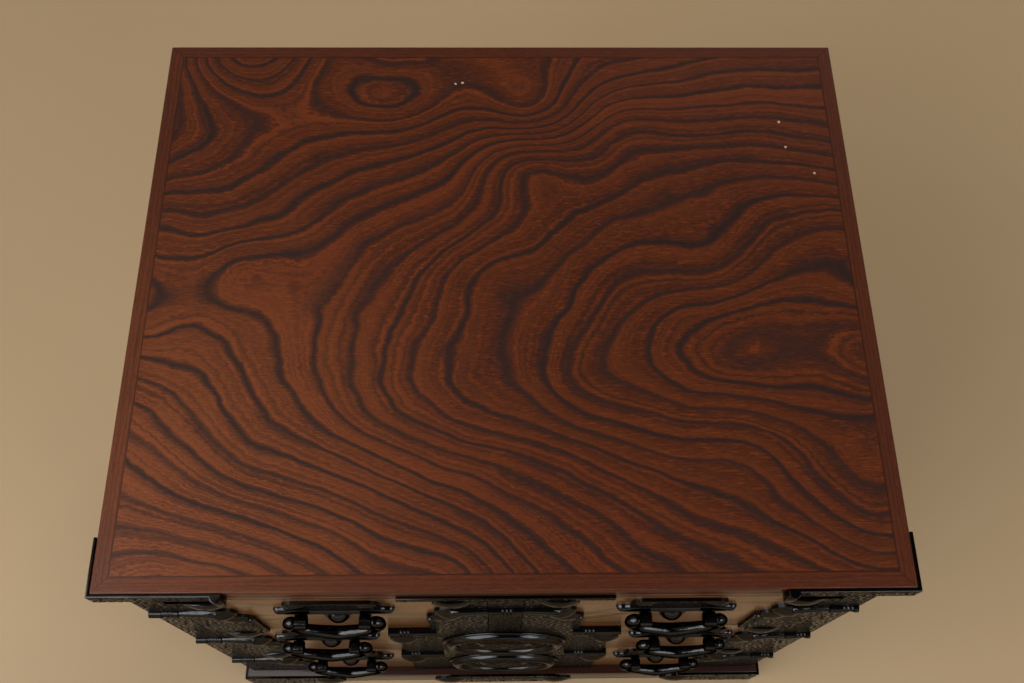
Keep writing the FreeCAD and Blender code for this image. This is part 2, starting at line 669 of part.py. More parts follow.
def make_drawer(name, row, low_x, high_x, handles, lock):
    """One drawer: front, box, corner fittings, handles, and a lock plate where it has one."""
    top = row_top(row)
    wide = "(%s - %s)" % (high_x, low_x)
    foot = "(%s - %s)" % (top, FRONT_HIGH)
    holes = []
    for x in handles:
        for sign in (-1, 1):
            holes.append(("%s + %d * eye_spacing / 2 - %s" % (x, sign, low_x),
                          "%s - bar_drop" % FRONT_HIGH, SHANK_HOLE))
    front = padded(name + "_front", (low_x, "%s + front_thick" % FRONT, foot),
                   (wide, FRONT_HIGH, "front_thick"), "XZ_Plane", holes)
    keep(soften(front, name + "_front", "y", False, "front_arris"), name + "_front")
    deck = "plinth_height + bottom_thick" if row == ROWS - 1 else "%s + divider_thick / 2" % row_top(row + 1)
    base = "(%s + slide_gap)" % deck
    ceiling = top if row == 0 else "%s - divider_thick / 2" % top
    box_high = "(%s - head_gap - %s)" % (ceiling, base)
    left = "(%s - side_gap + box_gap)" % low_x
    right = "(%s + side_gap - box_gap)" % high_x
    y = "(%s + front_thick)" % FRONT
    run = "(%s - rear_gap - %s)" % (BACK_FACE, y)
    keep(box(name + "_bottom", (left, y, base), ("%s - %s" % (right, left), run, "box_bottom")),
         name + "_bottom")
    wall_low = "(%s + box_bottom)" % base
    wall_high = "(%s - box_bottom)" % box_high
    walls = [box("%s_side_%s" % (name, side), (at, y, wall_low), ("box_side", run, wall_high))
             for side, at in (("left", left), ("right", "%s - box_side" % right))]
    keep(group(name + "_sides", walls), name + "_sides")
    keep(box(name + "_back", ("%s + box_side" % left, "%s + %s - box_side" % (y, run), wall_low),
             ("%s - %s - 2 * box_side" % (right, left), "box_side", "%s - box_lower" % wall_high)),
         name + "_back")
    corners = corner_irons(name + "_corner", low_x, row)
    middle = "((%s + %s) / 2)" % (low_x, high_x)
    corners += [mirrored(piece.Name + "_twin", piece, middle) for piece in corners]
    keep(group(name + "_corner_plates", corners), name + "_corner_plates")
    plates = [handle_plate("%s_handle_%d" % (name, index), x, row) for index, x in enumerate(handles)]
    keep(group(name + "_handle_plates", plates), name + "_handle_plates")
    posts = []
    for index, x in enumerate(handles):
        posts += handle_posts("%s_handle_%d" % (name, index), x, row)
    keep(group(name + "_handle_posts", posts), name + "_handle_posts")
    for index, x in enumerate(handles):
        label = name + "_bail" if len(handles) == 1 else "%s_bail_%s" % (name, ("left", "right")[index])
        keep(bail(label, x, row), label)
    if lock:
        lock_irons(name, row)


def make_drawers():
    post_edge = "(post_width / 2 + side_gap)"
    outer = "(%s - side_gap)" % INNER_HALF
    half_centre = "((%s + %s) / 2)" % (post_edge, outer)
    make_drawer("left_drawer", 0, "(-%s)" % outer, "(-%s)" % post_edge, ["(-%s)" % half_centre], False)
    make_drawer("right_drawer", 0, post_edge, outer, [half_centre], False)
    for row, name in ((1, "middle_drawer"), (2, "lower_drawer")):
        make_drawer(name, row, "(-%s)" % outer, outer, ["-handle_offset", "handle_offset"], True)


def check_and_write():
    """Stop on any failed object or bad shape, then write one STEP file per sub-part."""
    doc.recompute()
    for item in doc.Objects:
        if "Invalid" in item.State or "Error" in item.State:
            raise RuntimeError("%s did not build: %s" % (item.Name, item.State))
    os.makedirs("parts", exist_ok=True)
    for item in doc.Objects:
        wanted = len(item.Links) if item.TypeId == "Part::Compound" else 1
        if hasattr(item, "Shape") and item.TypeId in ONE_SOLID_EACH and len(item.Shape.Solids) != wanted:
            raise RuntimeError("%s has %d solids, not %d" % (item.Name, len(item.Shape.Solids), wanted))
    for piece in nodes:
        shape = piece.Shape
        if shape.isNull() or not shape.isValid() or not shape.Solids:
            raise RuntimeError("%s has a bad shape" % piece.Label)
    for piece in nodes:
        piece.Shape.exportStep("parts/%s.step" % piece.Label)
    whole = Part.makeCompound([piece.Shape for piece in nodes]).BoundBox
    print("%d sub-parts, %d solids" % (len(nodes), sum(len(piece.Shape.Solids) for piece in nodes)))
    print("box %.1f x %.1f x %.1f mm, middle (%.3f, %.3f), foot %.3f" % (
        whole.XLength, whole.YLength, whole.ZLength, whole.Center.x, whole.Center.y, whole.ZMin))


make_case()
make_plinth()
make_slab_irons()
make_post_irons()
make_plinth_irons()
make_drawers()
check_and_write()
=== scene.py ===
# %% [markdown]
# # A small tansu chest
# This lesson dresses the model of a low Japanese drawer chest. The measured frame comes ready made:
# every board, plate and pull has its true size and its place. Here each one gets a finish, and the
# pieces with fine work are made again with more care.

# %% Load the frame
import json
import math

import bmesh
import bpy
from mathutils import Matrix, Vector

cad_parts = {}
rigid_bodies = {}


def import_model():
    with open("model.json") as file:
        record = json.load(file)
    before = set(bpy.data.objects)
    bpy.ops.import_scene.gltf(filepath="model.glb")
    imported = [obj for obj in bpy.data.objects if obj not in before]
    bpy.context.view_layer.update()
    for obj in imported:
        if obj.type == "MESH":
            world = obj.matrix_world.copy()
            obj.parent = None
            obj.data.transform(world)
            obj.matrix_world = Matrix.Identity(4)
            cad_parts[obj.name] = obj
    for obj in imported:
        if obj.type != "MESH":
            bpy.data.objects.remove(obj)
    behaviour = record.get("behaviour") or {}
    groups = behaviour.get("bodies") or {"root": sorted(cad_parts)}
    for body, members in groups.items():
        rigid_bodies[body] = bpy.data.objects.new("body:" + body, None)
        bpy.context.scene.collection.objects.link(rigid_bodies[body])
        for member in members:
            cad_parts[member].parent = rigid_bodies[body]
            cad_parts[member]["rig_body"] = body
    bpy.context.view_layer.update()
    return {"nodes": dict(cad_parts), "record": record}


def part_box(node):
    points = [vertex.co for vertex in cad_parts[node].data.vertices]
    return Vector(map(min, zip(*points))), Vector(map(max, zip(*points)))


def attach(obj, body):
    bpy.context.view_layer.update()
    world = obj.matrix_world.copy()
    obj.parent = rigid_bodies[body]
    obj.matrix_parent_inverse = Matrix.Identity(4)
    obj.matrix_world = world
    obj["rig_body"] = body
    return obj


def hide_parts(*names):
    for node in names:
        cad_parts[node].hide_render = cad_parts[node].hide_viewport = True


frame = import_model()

nodes = frame["nodes"]
slots = {part["node"]: part["material_slot"] for part in frame["record"]["subparts"]}
MM = 0.001

# %% [markdown]
# ## Measures taken from the frame
# Sizes are read from the frame and not typed again, so a later change of the chest carries through.
# The chest's sizes are in millimetres, and `MM` turns them into Blender's metres. The camera, the lamps
# and the floor are placed in metres.

# %% Measures
def box_mm(node):
    """A node's low and high corners in millimetres."""
    return [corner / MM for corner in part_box(node)]


DRAWERS = ("left_drawer", "right_drawer", "middle_drawer", "lower_drawer")
slab_low, slab_high = box_mm("top_panel")
print("slab: %.0f x %.0f mm" % tuple((slab_high - slab_low).xy))

# %% [markdown]
# ## The camera
# The chest is seen from above and in front, so that the figured top fills the view and the fronts show
# at a glancing angle. A camera looks along its own -Z axis, so its matrix is built from three
# directions: its right, its up, and the reverse of where it looks.

# %% Camera
CAMERA_AT = Vector((-0.0070, -0.3809, 1.2668))
CAMERA_PITCH = math.radians(66.02)
CAMERA_YAW = math.radians(2.22)
CAMERA_ROLL = math.radians(1.79)
FOCAL_PIXELS = 1042.8
FRAME_PIXELS = 1024
SENSOR = 36.0

across = Vector((math.cos(CAMERA_YAW), -math.sin(CAMERA_YAW), 0))
level = Vector((math.sin(CAMERA_YAW), math.cos(CAMERA_YAW), 0))
ahead = level * math.cos(CAMERA_PITCH) - Vector((0, 0, math.sin(CAMERA_PITCH)))
upward = level * math.sin(CAMERA_PITCH) + Vector((0, 0, math.cos(CAMERA_PITCH)))
right = across * math.cos(CAMERA_ROLL) + upward * math.sin(CAMERA_ROLL)
up = upward * math.cos(CAMERA_ROLL) - across * math.sin(CAMERA_ROLL)
lens_data = bpy.data.cameras.new("camera")
lens_data.sensor_width = SENSOR
lens_data.lens = FOCAL_PIXELS / FRAME_PIXELS * SENSOR
camera = bpy.data.objects.new("camera", lens_data)
camera.matrix_world = Matrix.Translation(CAMERA_AT) @ Matrix((right, up, -ahead)).transposed().to_4x4()
bpy.context.scene.collection.objects.link(camera)
bpy.context.scene.camera = camera
print("camera: %.1f mm lens" % lens_data.lens)

# %% [markdown]
# ## Short ways to build nodes
# A material is a graph of nodes, and building one in full takes many lines. These helpers keep each
# later cell short: `add` makes a node and fills its inputs, `calc` makes a sum, `paint` lays colours
# over each other, and `new_group` starts a group of nodes that other trees can use.

# %% Node helpers
def fill(tree, sockets, values):
    """Fill sockets by name or number. A node's output is joined, and a plain value is typed in."""
    for name, value in values.items():
        if isinstance(value, bpy.types.NodeSocket):
            tree.links.new(value, sockets[name])
        else:
            sockets[name].default_value = value


def add(tree, kind, inputs=None, **settings):
    """Add a node, set its properties and fill its inputs. A short kind names a shader node."""
    node = tree.nodes.new(kind if "Node" in kind else "ShaderNode" + kind)
    for name, value in settings.items():
        setattr(node, name, value)
    fill(tree, node.inputs, inputs or {})
    return node


def calc(tree, operation, *values):
    """One Math node, returned as its output."""
    return add(tree, "Math", dict(enumerate(values)), operation=operation).outputs[0]


def times(tree, first, second):
    """One value times another."""
    return calc(tree, "MULTIPLY", first, second)


def vector_calc(tree, operation, first, second):
    """One Vector Math node, returned as its output: a vector, or a value where the sum gives one."""
    place = "Scale" if operation == "SCALE" else 1
    node = add(tree, "VectorMath", {0: first, place: second}, operation=operation)
    return node.outputs["Value" if operation in ("DISTANCE", "DOT_PRODUCT") else "Vector"]


def remap(tree, value, low, high, to_low=0.0, to_high=1.0):
    """A value moved smoothly from one range to another and held at its ends."""
    inputs = {"Value": value, "From Min": low, "From Max": high, "To Min": to_low, "To Max": to_high}
    return add(tree, "MapRange", inputs, interpolation_type="SMOOTHSTEP").outputs[0]


def blend(tree, share, first, second):
    """Two colours mixed by a share."""
    first, second = ((*colour, 1) if isinstance(colour, tuple) else colour for colour in (first, second))
    return add(tree, "Mix", {0: share, 6: first, 7: second}, data_type="RGBA").outputs[2]


def paint(tree, colour, layers):
    """A colour with layers over it. Each layer has the share that it covers and its own colour."""
    for share, tint in layers:
        colour = blend(tree, share, colour, tint)
    return colour


def stretch(tree, place, size, shift=(0, 0, 0)):
    """Coordinates scaled and shifted before a texture reads them."""
    return add(tree, "Mapping", {"Vector": place, "Scale": size, "Location": shift}).outputs[0]


def noise(tree, place, scale, detail=2.0, rough=0.5, seed=0.0):
    """Smooth noise between 0 and 1. Three scales stretch it, and the seed moves to another part of it."""
    if isinstance(scale, tuple):
        place, scale = stretch(tree, place, scale), 1.0
    if seed:
        place = vector_calc(tree, "ADD", place, tuple(seed * step for step in (17.3, -9.1, 5.7)))
    inputs = {"Vector": place, "Scale": scale, "Detail": detail, "Roughness": rough}
    return add(tree, "TexNoise", inputs, noise_dimensions="3D").outputs[0]


def object_place(tree):
    """The place of each point on its object, in metres."""
    return add(tree, "TexCoord").outputs["Object"]


def split(tree, vector):
    """The X, Y and Z of a vector."""
    return add(tree, "SeparateXYZ", {0: vector}).outputs


def join(tree, **parts):
    """A vector from its X, Y and Z. A part left out is 0."""
    return add(tree, "CombineXYZ", parts).outputs[0]


def bump(tree, height, strength, distance):
    """A normal that makes a height look like relief."""
    return add(tree, "Bump", {"Height": height, "Strength": strength, "Distance": distance}).outputs[0]


def new_group(name, inputs, outputs, kind="ShaderNodeTree"):
    """A node group with named sockets, and its two ends."""
    group = bpy.data.node_groups.new(name, kind)
    for in_out, sockets in (("INPUT", inputs), ("OUTPUT", outputs)):
        for label, socket_kind in sockets.items():
            group.interface.new_socket(label, in_out=in_out, socket_type="NodeSocket" + socket_kind)
    return group, group.nodes.new("NodeGroupInput").outputs, group.nodes.new("NodeGroupOutput").inputs


def use(tree, group, inputs):
    """Place a group in a material and return its outputs."""
    return add(tree, "Group", inputs, node_tree=group).outputs


def new_material(name):
    """A material with a Principled shader, its tree, and the shader's inputs."""
    material = bpy.data.materials.new(name)
    material.use_nodes = True
    tree = material.node_tree
    return material, tree, tree.nodes["Principled BSDF"].inputs

# %% [markdown]
# ## Ring lines
# A tree adds a ring of wood each year. Cut flat, the rings show as contour lines, like those on a map
# of hills. So the figure is a height field, and this group draws its lines: the field's fraction jumps
# back at each ring, and is dark with open pores there and paler after it.

# %% Ring lines group
ring_lines, given, result = new_group(
    "Ring lines",
    {"Field": "Float", "Line Share": "Float"},
    {"Line": "Float", "Tone": "Float"})
DARKEST_AT = 0.4
share = calc(ring_lines, "FRACT", given["Field"])
darkest = times(ring_lines, given["Line Share"], DARKEST_AT)
fall = remap(ring_lines, share, darkest, given["Line Share"], 1.0, 0.0)
rise = remap(ring_lines, share, 0.0, darkest)
year = calc(ring_lines, "FLOOR", given["Field"])
tone = add(ring_lines, "TexWhiteNoise", {"W": year}, noise_dimensions="1D").outputs["Value"]
fill(ring_lines, result, {"Line": times(ring_lines, fall, rise), "Tone": tone})
print("group:", ring_lines.name)

# %% [markdown]
# ## Pores
# Keyaki is a ring-porous wood: its pores are open tubes, and on a face they show as short dark dashes
# along the grain. Noise that is stretched hard in one direction gives dashes, and a threshold keeps
# only its peaks.

# %% Pores group
pores, given, result = new_group(
    "Pores",
    {"Place": "Vector", "Length": "Float", "Width": "Float", "Amount": "Float"},
    {"Dash": "Float", "Streak": "Float"})
along = calc(pores, "DIVIDE", 1.0, given["Length"])
over = calc(pores, "DIVIDE", 1.0, given["Width"])
thin = vector_calc(pores, "MULTIPLY", given["Place"], join(pores, X=along, Y=over, Z=over))
level_at = calc(pores, "SUBTRACT", 0.78, times(pores, given["Amount"], 0.3))
peaks = remap(pores, noise(pores, thin, 1.0, 1.0), level_at, calc(pores, "ADD", level_at, 0.1))
broad = vector_calc(pores, "SCALE", thin, 0.22)
fill(pores, result, {"Dash": peaks, "Streak": noise(pores, broad, 1.0, 3.0, 0.6, 4.0)})
print("group:", pores.name)

# %% [markdown]
# ## Handling and dust
# Old lacquer and iron are never even. One group gives soft scuffs, which change the gloss, and another
# gives dust, which only lies where a face looks up.

# %% Scuffs and dust groups
scuffs, given, result = new_group(
    "Scuffs",
    {"Place": "Vector", "Size": "Float"},
    {"Patch": "Float"})
near = vector_calc(scuffs, "SCALE", given["Place"], calc(scuffs, "DIVIDE", 1.0, given["Size"]))
fill(scuffs, result, {"Patch": remap(scuffs, noise(scuffs, near, 1.0, 5.0, 0.6), 0.35, 0.7)})

dust, given, result = new_group(
    "Dust",
    {"Place": "Vector", "Amount": "Float"},
    {"Dust": "Float"})
facing = split(dust, add(dust, "NewGeometry").outputs["Normal"])["Z"]
specks = remap(dust, noise(dust, given["Place"], 0.25, 6.0, 0.75), 0.45, 0.75)
lying = times(dust, remap(dust, facing, 0.6, 1.0), specks)
fill(dust, result, {"Dust": times(dust, lying, given["Amount"])})
print("groups:", scuffs.name, dust.name)

# %% [markdown]
# ## Lacquered keyaki
# The case and the fronts are keyaki under clear red-brown lacquer. The colour comes from the wood, and
# the shine from a coat on the Principled shader, which mirrors the floor at a low angle. Inside, the
# drawers are bare kiri, a pale light wood. One function makes both from a table of its look.

# %% Board materials
def grain_place(tree, along, shift):
    """Object coordinates in millimetres, turned so that X runs along the grain."""
    spot = split(tree, object_place(tree))
    order = {"x": "XZY", "y": "YZX", "z": "ZXY"}[along]
    turned = join(tree, **{to: spot[source] for to, source in zip("XYZ", order)})
    return stretch(tree, turned, (1 / MM,) * 3, shift)


def board_material(name, along, shift, look):
    """A wooden board: rings, pores, colour, and lacquer where the look has it."""
    material, tree, shader = new_material(name)
    place = grain_place(tree, along, shift)
    spot = split(tree, place)
    slow = noise(tree, place, (0.0022, 0.011, 0.011), 1.0, 0.4, look["seed"])
    fine = noise(tree, place, (0.012, 0.07, 0.07), 2.0)
    field = calc(tree, "MULTIPLY_ADD", slow, look["swing"], times(tree, fine, look["wander"]))
    through = calc(tree, "DIVIDE", calc(tree, "ADD", spot["Y"], spot["Z"]), look["spacing"])
    rings = use(tree, ring_lines, {"Field": calc(tree, "ADD", field, through), "Line Share": look["line"]})
    length, width, amount = look["pore"]
    dashes = use(tree, pores, {"Place": place, "Length": length, "Width": width, "Amount": amount})
    worn = use(tree, scuffs, {"Place": place, "Size": 60.0})
    height = calc(tree, "MULTIPLY_ADD", rings["Line"], -0.4, times(tree, dashes["Dash"], -0.6))
    fill(tree, shader, {
        "Base Color": paint(tree, look["light"], (
            (rings["Tone"], look["middle"]),
            (remap(tree, dashes["Streak"], 0.3, 0.75), look["middle"]),
            (times(tree, rings["Line"], look["ring_depth"]), look["dark"]),
            (times(tree, dashes["Dash"], look["pore_depth"]), look["dark"]))),
        "Roughness": calc(tree, "MULTIPLY_ADD", worn["Patch"], look["rough_swing"], look["rough"]),
        "Normal": bump(tree, height, look["bump"], 0.0002),
        "Specular IOR Level": look["shine"],
        "Coat Weight": look["coat"],
        "Coat Roughness": look["coat_rough"]})
    return material


# Spacing of the rings and the pores' length and width are in millimetres.
KEYAKI = {"seed": 0.0, "swing": 9.0, "wander": 0.9, "spacing": 26.0, "line": 0.34, "pore": (16.0, 0.8, 0.45),
          "light": (0.165, 0.070, 0.018), "middle": (0.115, 0.045, 0.013), "dark": (0.030, 0.011, 0.006),
          "ring_depth": 0.7, "pore_depth": 0.5, "rough": 0.30, "rough_swing": 0.12, "bump": 0.12,
          "shine": 0.1, "coat": 0.38, "coat_rough": 0.16}
CASE = dict(KEYAKI, seed=3.0, light=(0.095, 0.027, 0.012), middle=(0.058, 0.016, 0.008))
PLINTH = dict(KEYAKI, seed=5.0, light=(0.040, 0.012, 0.007), middle=(0.024, 0.008, 0.005),
              swing=4.0, coat_rough=0.12)
KIRI = {"seed": 9.0, "swing": 5.5, "wander": 0.4, "spacing": 8.5, "line": 0.5, "pore": (10.0, 0.6, 0.35),
        "light": (0.60, 0.42, 0.25), "middle": (0.50, 0.34, 0.19), "dark": (0.30, 0.19, 0.10),
        "ring_depth": 0.42, "pore_depth": 0.45, "rough": 0.62, "rough_swing": 0.10, "bump": 0.35,
        "shine": 0.3, "coat": 0.0, "coat_rough": 0.3}
print("rings of keyaki every %.0f mm, of kiri every %.1f mm" % (KEYAKI["spacing"], KIRI["spacing"]))

# %% [markdown]
# ## The figured top
# The top is the showpiece: one wide board with a bold figure inside a narrow mitred frame. Its height
# field is a slope with some round hills and hollows on it. Each ring line follows the field round them,
# as a contour line does on a map, so moving one hill moves the lines near it and no others.

# %% Hills of the figure
# Across and back from the middle of the front edge, radius, and height in rings.
HILLS = (
    (193, 236, 190, -14.37), (-149, 236, 190, -7.91), (-203, -20, 130, 8.18), (-320, 243, 65, -5.20),
    (177, 272, 65, 3.65), (-27, 155, 65, -2.35), (294, 67, 65, -3.68), (-232, 506, 65, -7.75),
    (186, 121, 45, 1.54), (-198, 61, 90, -2.51), (24, 364, 45, -2.49), (24, 425, 45, 3.12),
    (307, 182, 45, -3.78), (-97, 506, 45, -3.34), (-299, 324, 45, -1.61), (-97, 445, 45, 1.95),
    (64, 162, 45, -1.75), (-97, 142, 45, -0.84), (-16, 263, 45, -1.28), (177, 184, 65, -1.38),
    (307, 304, 45, -1.54), (105, 405, 45, -1.66), (4, 385, 45, -1.46), (-36, 0, 45, 2.01),
    (-218, 263, 45, -2.02), (-198, 263, 90, 1.41))
FIGURE_LEVEL, FIGURE_ACROSS, FIGURE_BACK = 15.79, -0.01172, 0.00799

hill, given, result = new_group(
    "Hill",
    {"Place": "Vector", "Centre": "Vector", "Radius": "Float", "Height": "Float", "Ground": "Float"},
    {"Ground": "Float"})
far = calc(hill, "DIVIDE", vector_calc(hill, "DISTANCE", given["Place"], given["Centre"]), given["Radius"])
bell = calc(hill, "EXPONENT", times(hill, calc(hill, "POWER", far, 2.0), -1.0))
fill(hill, result, {"Ground": calc(hill, "MULTIPLY_ADD", bell, given["Height"], given["Ground"])})


def raise_hill(tree, place, ground, x, y, radius, height):
    """A field with one more hill on it."""
    inputs = {"Place": place, "Centre": (x, y, 0), "Radius": radius, "Height": height, "Ground": ground}
    return use(tree, hill, inputs)["Ground"]


print("hills:", len(HILLS))

# %% [markdown]
# The field is built in the top's own coordinates, in millimetres back from its front edge and down from
# its face. Two slow noises shake it. The frame's strips have a field of their own, whose grain runs
# along each strip, and the joints between strips and panel are thin dark seams.

# %% Top material
figured_top, tree, shader = new_material("figured_top")
HALF_WIDE = (slab_high.x - slab_low.x) / 2
DEEP = slab_high.y - slab_low.y
FRAME_WIDE = 12.5
STRIP_SPACING, STRIP_WANDER = 3.4, 1.6
# Stretch, share of a ring, and seed of each shake.
SHAKES = (((0.020, 0.026, 1), 0.55, 1.0), ((0.06, 0.09, 1), 0.16, 2.0))
place = stretch(tree, object_place(tree), (1 / MM,) * 3, (0, -slab_low.y, -slab_high.z))
spot = split(tree, place)
flat = join(tree, X=spot["X"], Y=spot["Y"])
field = calc(tree, "MULTIPLY_ADD", spot["X"], FIGURE_ACROSS, FIGURE_LEVEL)
field = calc(tree, "MULTIPLY_ADD", spot["Y"], FIGURE_BACK, field)
for x, y, radius, height in HILLS:
    field = raise_hill(tree, flat, field, x, y, radius, height)
for size, share, seed in SHAKES:
    shake = noise(tree, flat, size, 1.0, 0.5, seed)
    field = calc(tree, "MULTIPLY_ADD", shake, share, field)
to_side = calc(tree, "SUBTRACT", HALF_WIDE, calc(tree, "ABSOLUTE", spot["X"]))
to_front = calc(tree, "MINIMUM", spot["Y"], calc(tree, "SUBTRACT", DEEP, spot["Y"]))
inset = calc(tree, "MINIMUM", to_side, to_front)
in_frame = remap(tree, inset, FRAME_WIDE, FRAME_WIDE + 0.4, 1.0, 0.0)
seam = remap(tree, calc(tree, "ABSOLUTE", calc(tree, "SUBTRACT", inset, FRAME_WIDE)), 0.2, 0.7, 1.0, 0.0)
mitre = remap(tree, calc(tree, "ABSOLUTE", calc(tree, "SUBTRACT", to_side, to_front)), 0.1, 0.6, 1.0, 0.0)
seam = calc(tree, "MAXIMUM", seam, times(tree, mitre, in_frame))
on_side = times(tree, calc(tree, "LESS_THAN", to_side, to_front), in_frame)
turned = join(tree, X=spot["Y"], Y=spot["X"], Z=spot["Z"])
strip = add(tree, "Mix", {0: on_side, 4: place, 5: turned}, data_type="VECTOR").outputs[1]
strip_field = calc(tree, "DIVIDE", calc(tree, "SUBTRACT", inset, spot["Z"]), STRIP_SPACING)
wander = noise(tree, strip, (0.01, 0.2, 0.2))
strip_field = calc(tree, "MULTIPLY_ADD", wander, STRIP_WANDER, strip_field)
field = add(tree, "Mix", {0: in_frame, 2: field, 3: strip_field}).outputs[0]
print("field ready, %d nodes" % len(tree.nodes))

# %% [markdown]
# The field alone would draw clean lines, and real ones are ragged. So fibres, which are noise stretched
# along the grain, push the field to and fro before the lines are drawn, and a slower noise makes each
# line swell and thin. The same field, three and six times as steep, draws streaks and fine lines
# between. The colours are laid over each other in turn.

# %% Lines and colours of the top
# Painted light: a warm orange glow painted into the top's colour at its left front, standing for the window
# light that falls there.
PAINTED_LIGHT_AT = (-280, 70, 0)
PAINTED_LIGHT_REACH = 330.0
FIBRE_PUSH = 0.10
DEEP_BROWN, RED_BROWN = (0.060, 0.015, 0.008), (0.132, 0.032, 0.012)
DULL_PATCH, LATE_WOOD, FLAME = (0.082, 0.022, 0.009), (0.170, 0.042, 0.011), (0.235, 0.052, 0.014)
# The second colour here is painted light: the warm glow of the window light at the left front.
PALE_RING, PAINTED_LIGHT = (0.205, 0.044, 0.013), (0.300, 0.088, 0.030)
FINE_LINE, STREAK, MAIN_LINE = (0.046, 0.016, 0.010), (0.036, 0.017, 0.012), (0.027, 0.017, 0.015)
OPEN_PORE, FRAME_TINT, SEAM = (0.026, 0.012, 0.008), (0.085, 0.024, 0.012), (0.016, 0.007, 0.005)

fibres = noise(tree, strip, (0.15, 1.25, 1.25), 2.0, 0.6, 3.0)
field = calc(tree, "MULTIPLY_ADD", calc(tree, "SUBTRACT", fibres, 0.5), FIBRE_PUSH, field)
patches = noise(tree, flat, (0.009, 0.014, 1), 3.0, 0.55, 6.0)
swelling = noise(tree, flat, (0.010, 0.022, 1), 1.5, 0.5, 5.0)
ripples = noise(tree, flat, (0.20, 0.32, 1), 1.5, 0.5, 12.0)
flames = noise(tree, strip, (0.09, 0.85, 0.85), 2.0, 0.6, 11.0)
rings = use(tree, ring_lines, {"Field": field, "Line Share": remap(tree, swelling, 0.32, 0.68, 0.32, 0.64)})
inner_field = calc(tree, "MULTIPLY_ADD", field, 6.0, times(tree, ripples, 1.6))
inner = use(tree, ring_lines, {"Field": inner_field, "Line Share": 0.8})
third_field = calc(tree, "MULTIPLY_ADD", field, 3.0, calc(tree, "MULTIPLY_ADD", ripples, 0.7, 0.4))
thirds = use(tree, ring_lines, {"Field": third_field, "Line Share": remap(tree, patches, 0.3, 0.7, 0.7, 0.4)})
dashes = use(tree, pores, {"Place": strip, "Length": 5.0, "Width": 0.6, "Amount": 0.55})

# Painted light: the warm glow at the left front, strongest at its centre and broken by the fibres.
painted_light = remap(tree, vector_calc(tree, "DISTANCE", flat, PAINTED_LIGHT_AT), PAINTED_LIGHT_REACH, 0.0, 0.0, 0.6)
painted_light = times(tree, painted_light, remap(tree, fibres, 0.3, 0.6, 0.5, 1.0))
fine = times(tree, inner["Line"], remap(tree, patches, 0.35, 0.60, 0.60, 0.20))
streaks = times(tree, thirds["Line"], times(tree, thirds["Tone"], 0.85))
dark = times(tree, rings["Line"], calc(tree, "MULTIPLY_ADD", in_frame, -0.45, 0.95))
dark = times(tree, dark, remap(tree, fibres, 0.45, 0.75, 1.0, 0.7))
dark = times(tree, dark, remap(tree, rings["Tone"], 0.0, 1.0, 0.72, 1.0))
colour = paint(tree, DEEP_BROWN, (
    (remap(tree, fibres, 0.34, 0.66), RED_BROWN),
    (remap(tree, patches, 0.40, 0.66, 0.0, 0.7), DULL_PATCH),
    (remap(tree, calc(tree, "FRACT", field), 0.45, 1.0, 0.0, 0.4), LATE_WOOD),
    (remap(tree, flames, 0.52, 0.70, 0.0, 0.6), FLAME),
    (remap(tree, inner["Tone"], 0.45, 1.0, 0.0, 0.5), PALE_RING),
    # Painted light: the warm glow at the left front.
    (painted_light, PAINTED_LIGHT),
    (fine, FINE_LINE),
    (streaks, STREAK),
    (dark, MAIN_LINE),
    (times(tree, dashes["Dash"], 0.3), OPEN_PORE),
    (times(tree, in_frame, 0.35), FRAME_TINT),
    (times(tree, seam, 0.6), SEAM)))
print("lines and colours ready, %d nodes" % len(tree.nodes))

# %% [markdown]
# An old top is chipped. A few pale chips lie where knocks have broken the lacquer, and small pale marks
# run along part of the front arris. A chip is a bell round a point, cut off by noise so that its
# outline is broken.
# The board's edges and underside are painted darker, as painted shade for the dark line under the top's
# front edge, and a thinner coat makes them duller than its face.

# %% Chips and gloss of the top
CHIPS = ((-42, 455), (-36, 456), (247, 413), (250, 386), (272, 359))
CHIP_RADIUS = 1.5
ARRIS_MARKS_AT = -165.0
# The first colour is painted shade, laid on the board's edges below its face.
PAINTED_EDGE_SHADE, PALE_MARK = (0.020, 0.006, 0.003), (0.62, 0.44, 0.30)
pale_marks = 0.0
for x, y in CHIPS:
    pale_marks = raise_hill(tree, flat, pale_marks, x, y, CHIP_RADIUS, 1.0)
broken = noise(tree, place, 0.5, 2.0, 0.6, 8.0)
pale_marks = remap(tree, times(tree, pale_marks, broken), 0.22, 0.30)
# Pale marks along part of the front arris, where noise peaks near the edge.
arris = remap(tree, calc(tree, "SUBTRACT", spot["Y"], spot["Z"]), 0.5, 1.0, 1.0, 0.0)
along_arris = calc(tree, "ABSOLUTE", calc(tree, "SUBTRACT", spot["X"], ARRIS_MARKS_AT))
arris_marks = remap(tree, noise(tree, place, 0.35, 3.0, 0.7, 9.0), 0.60, 0.66)
arris_marks = times(tree, arris_marks, arris)
arris_marks = times(tree, arris_marks, remap(tree, along_arris, 60.0, 90.0, 1.0, 0.0))
pale_marks = calc(tree, "MAXIMUM", pale_marks, arris_marks)
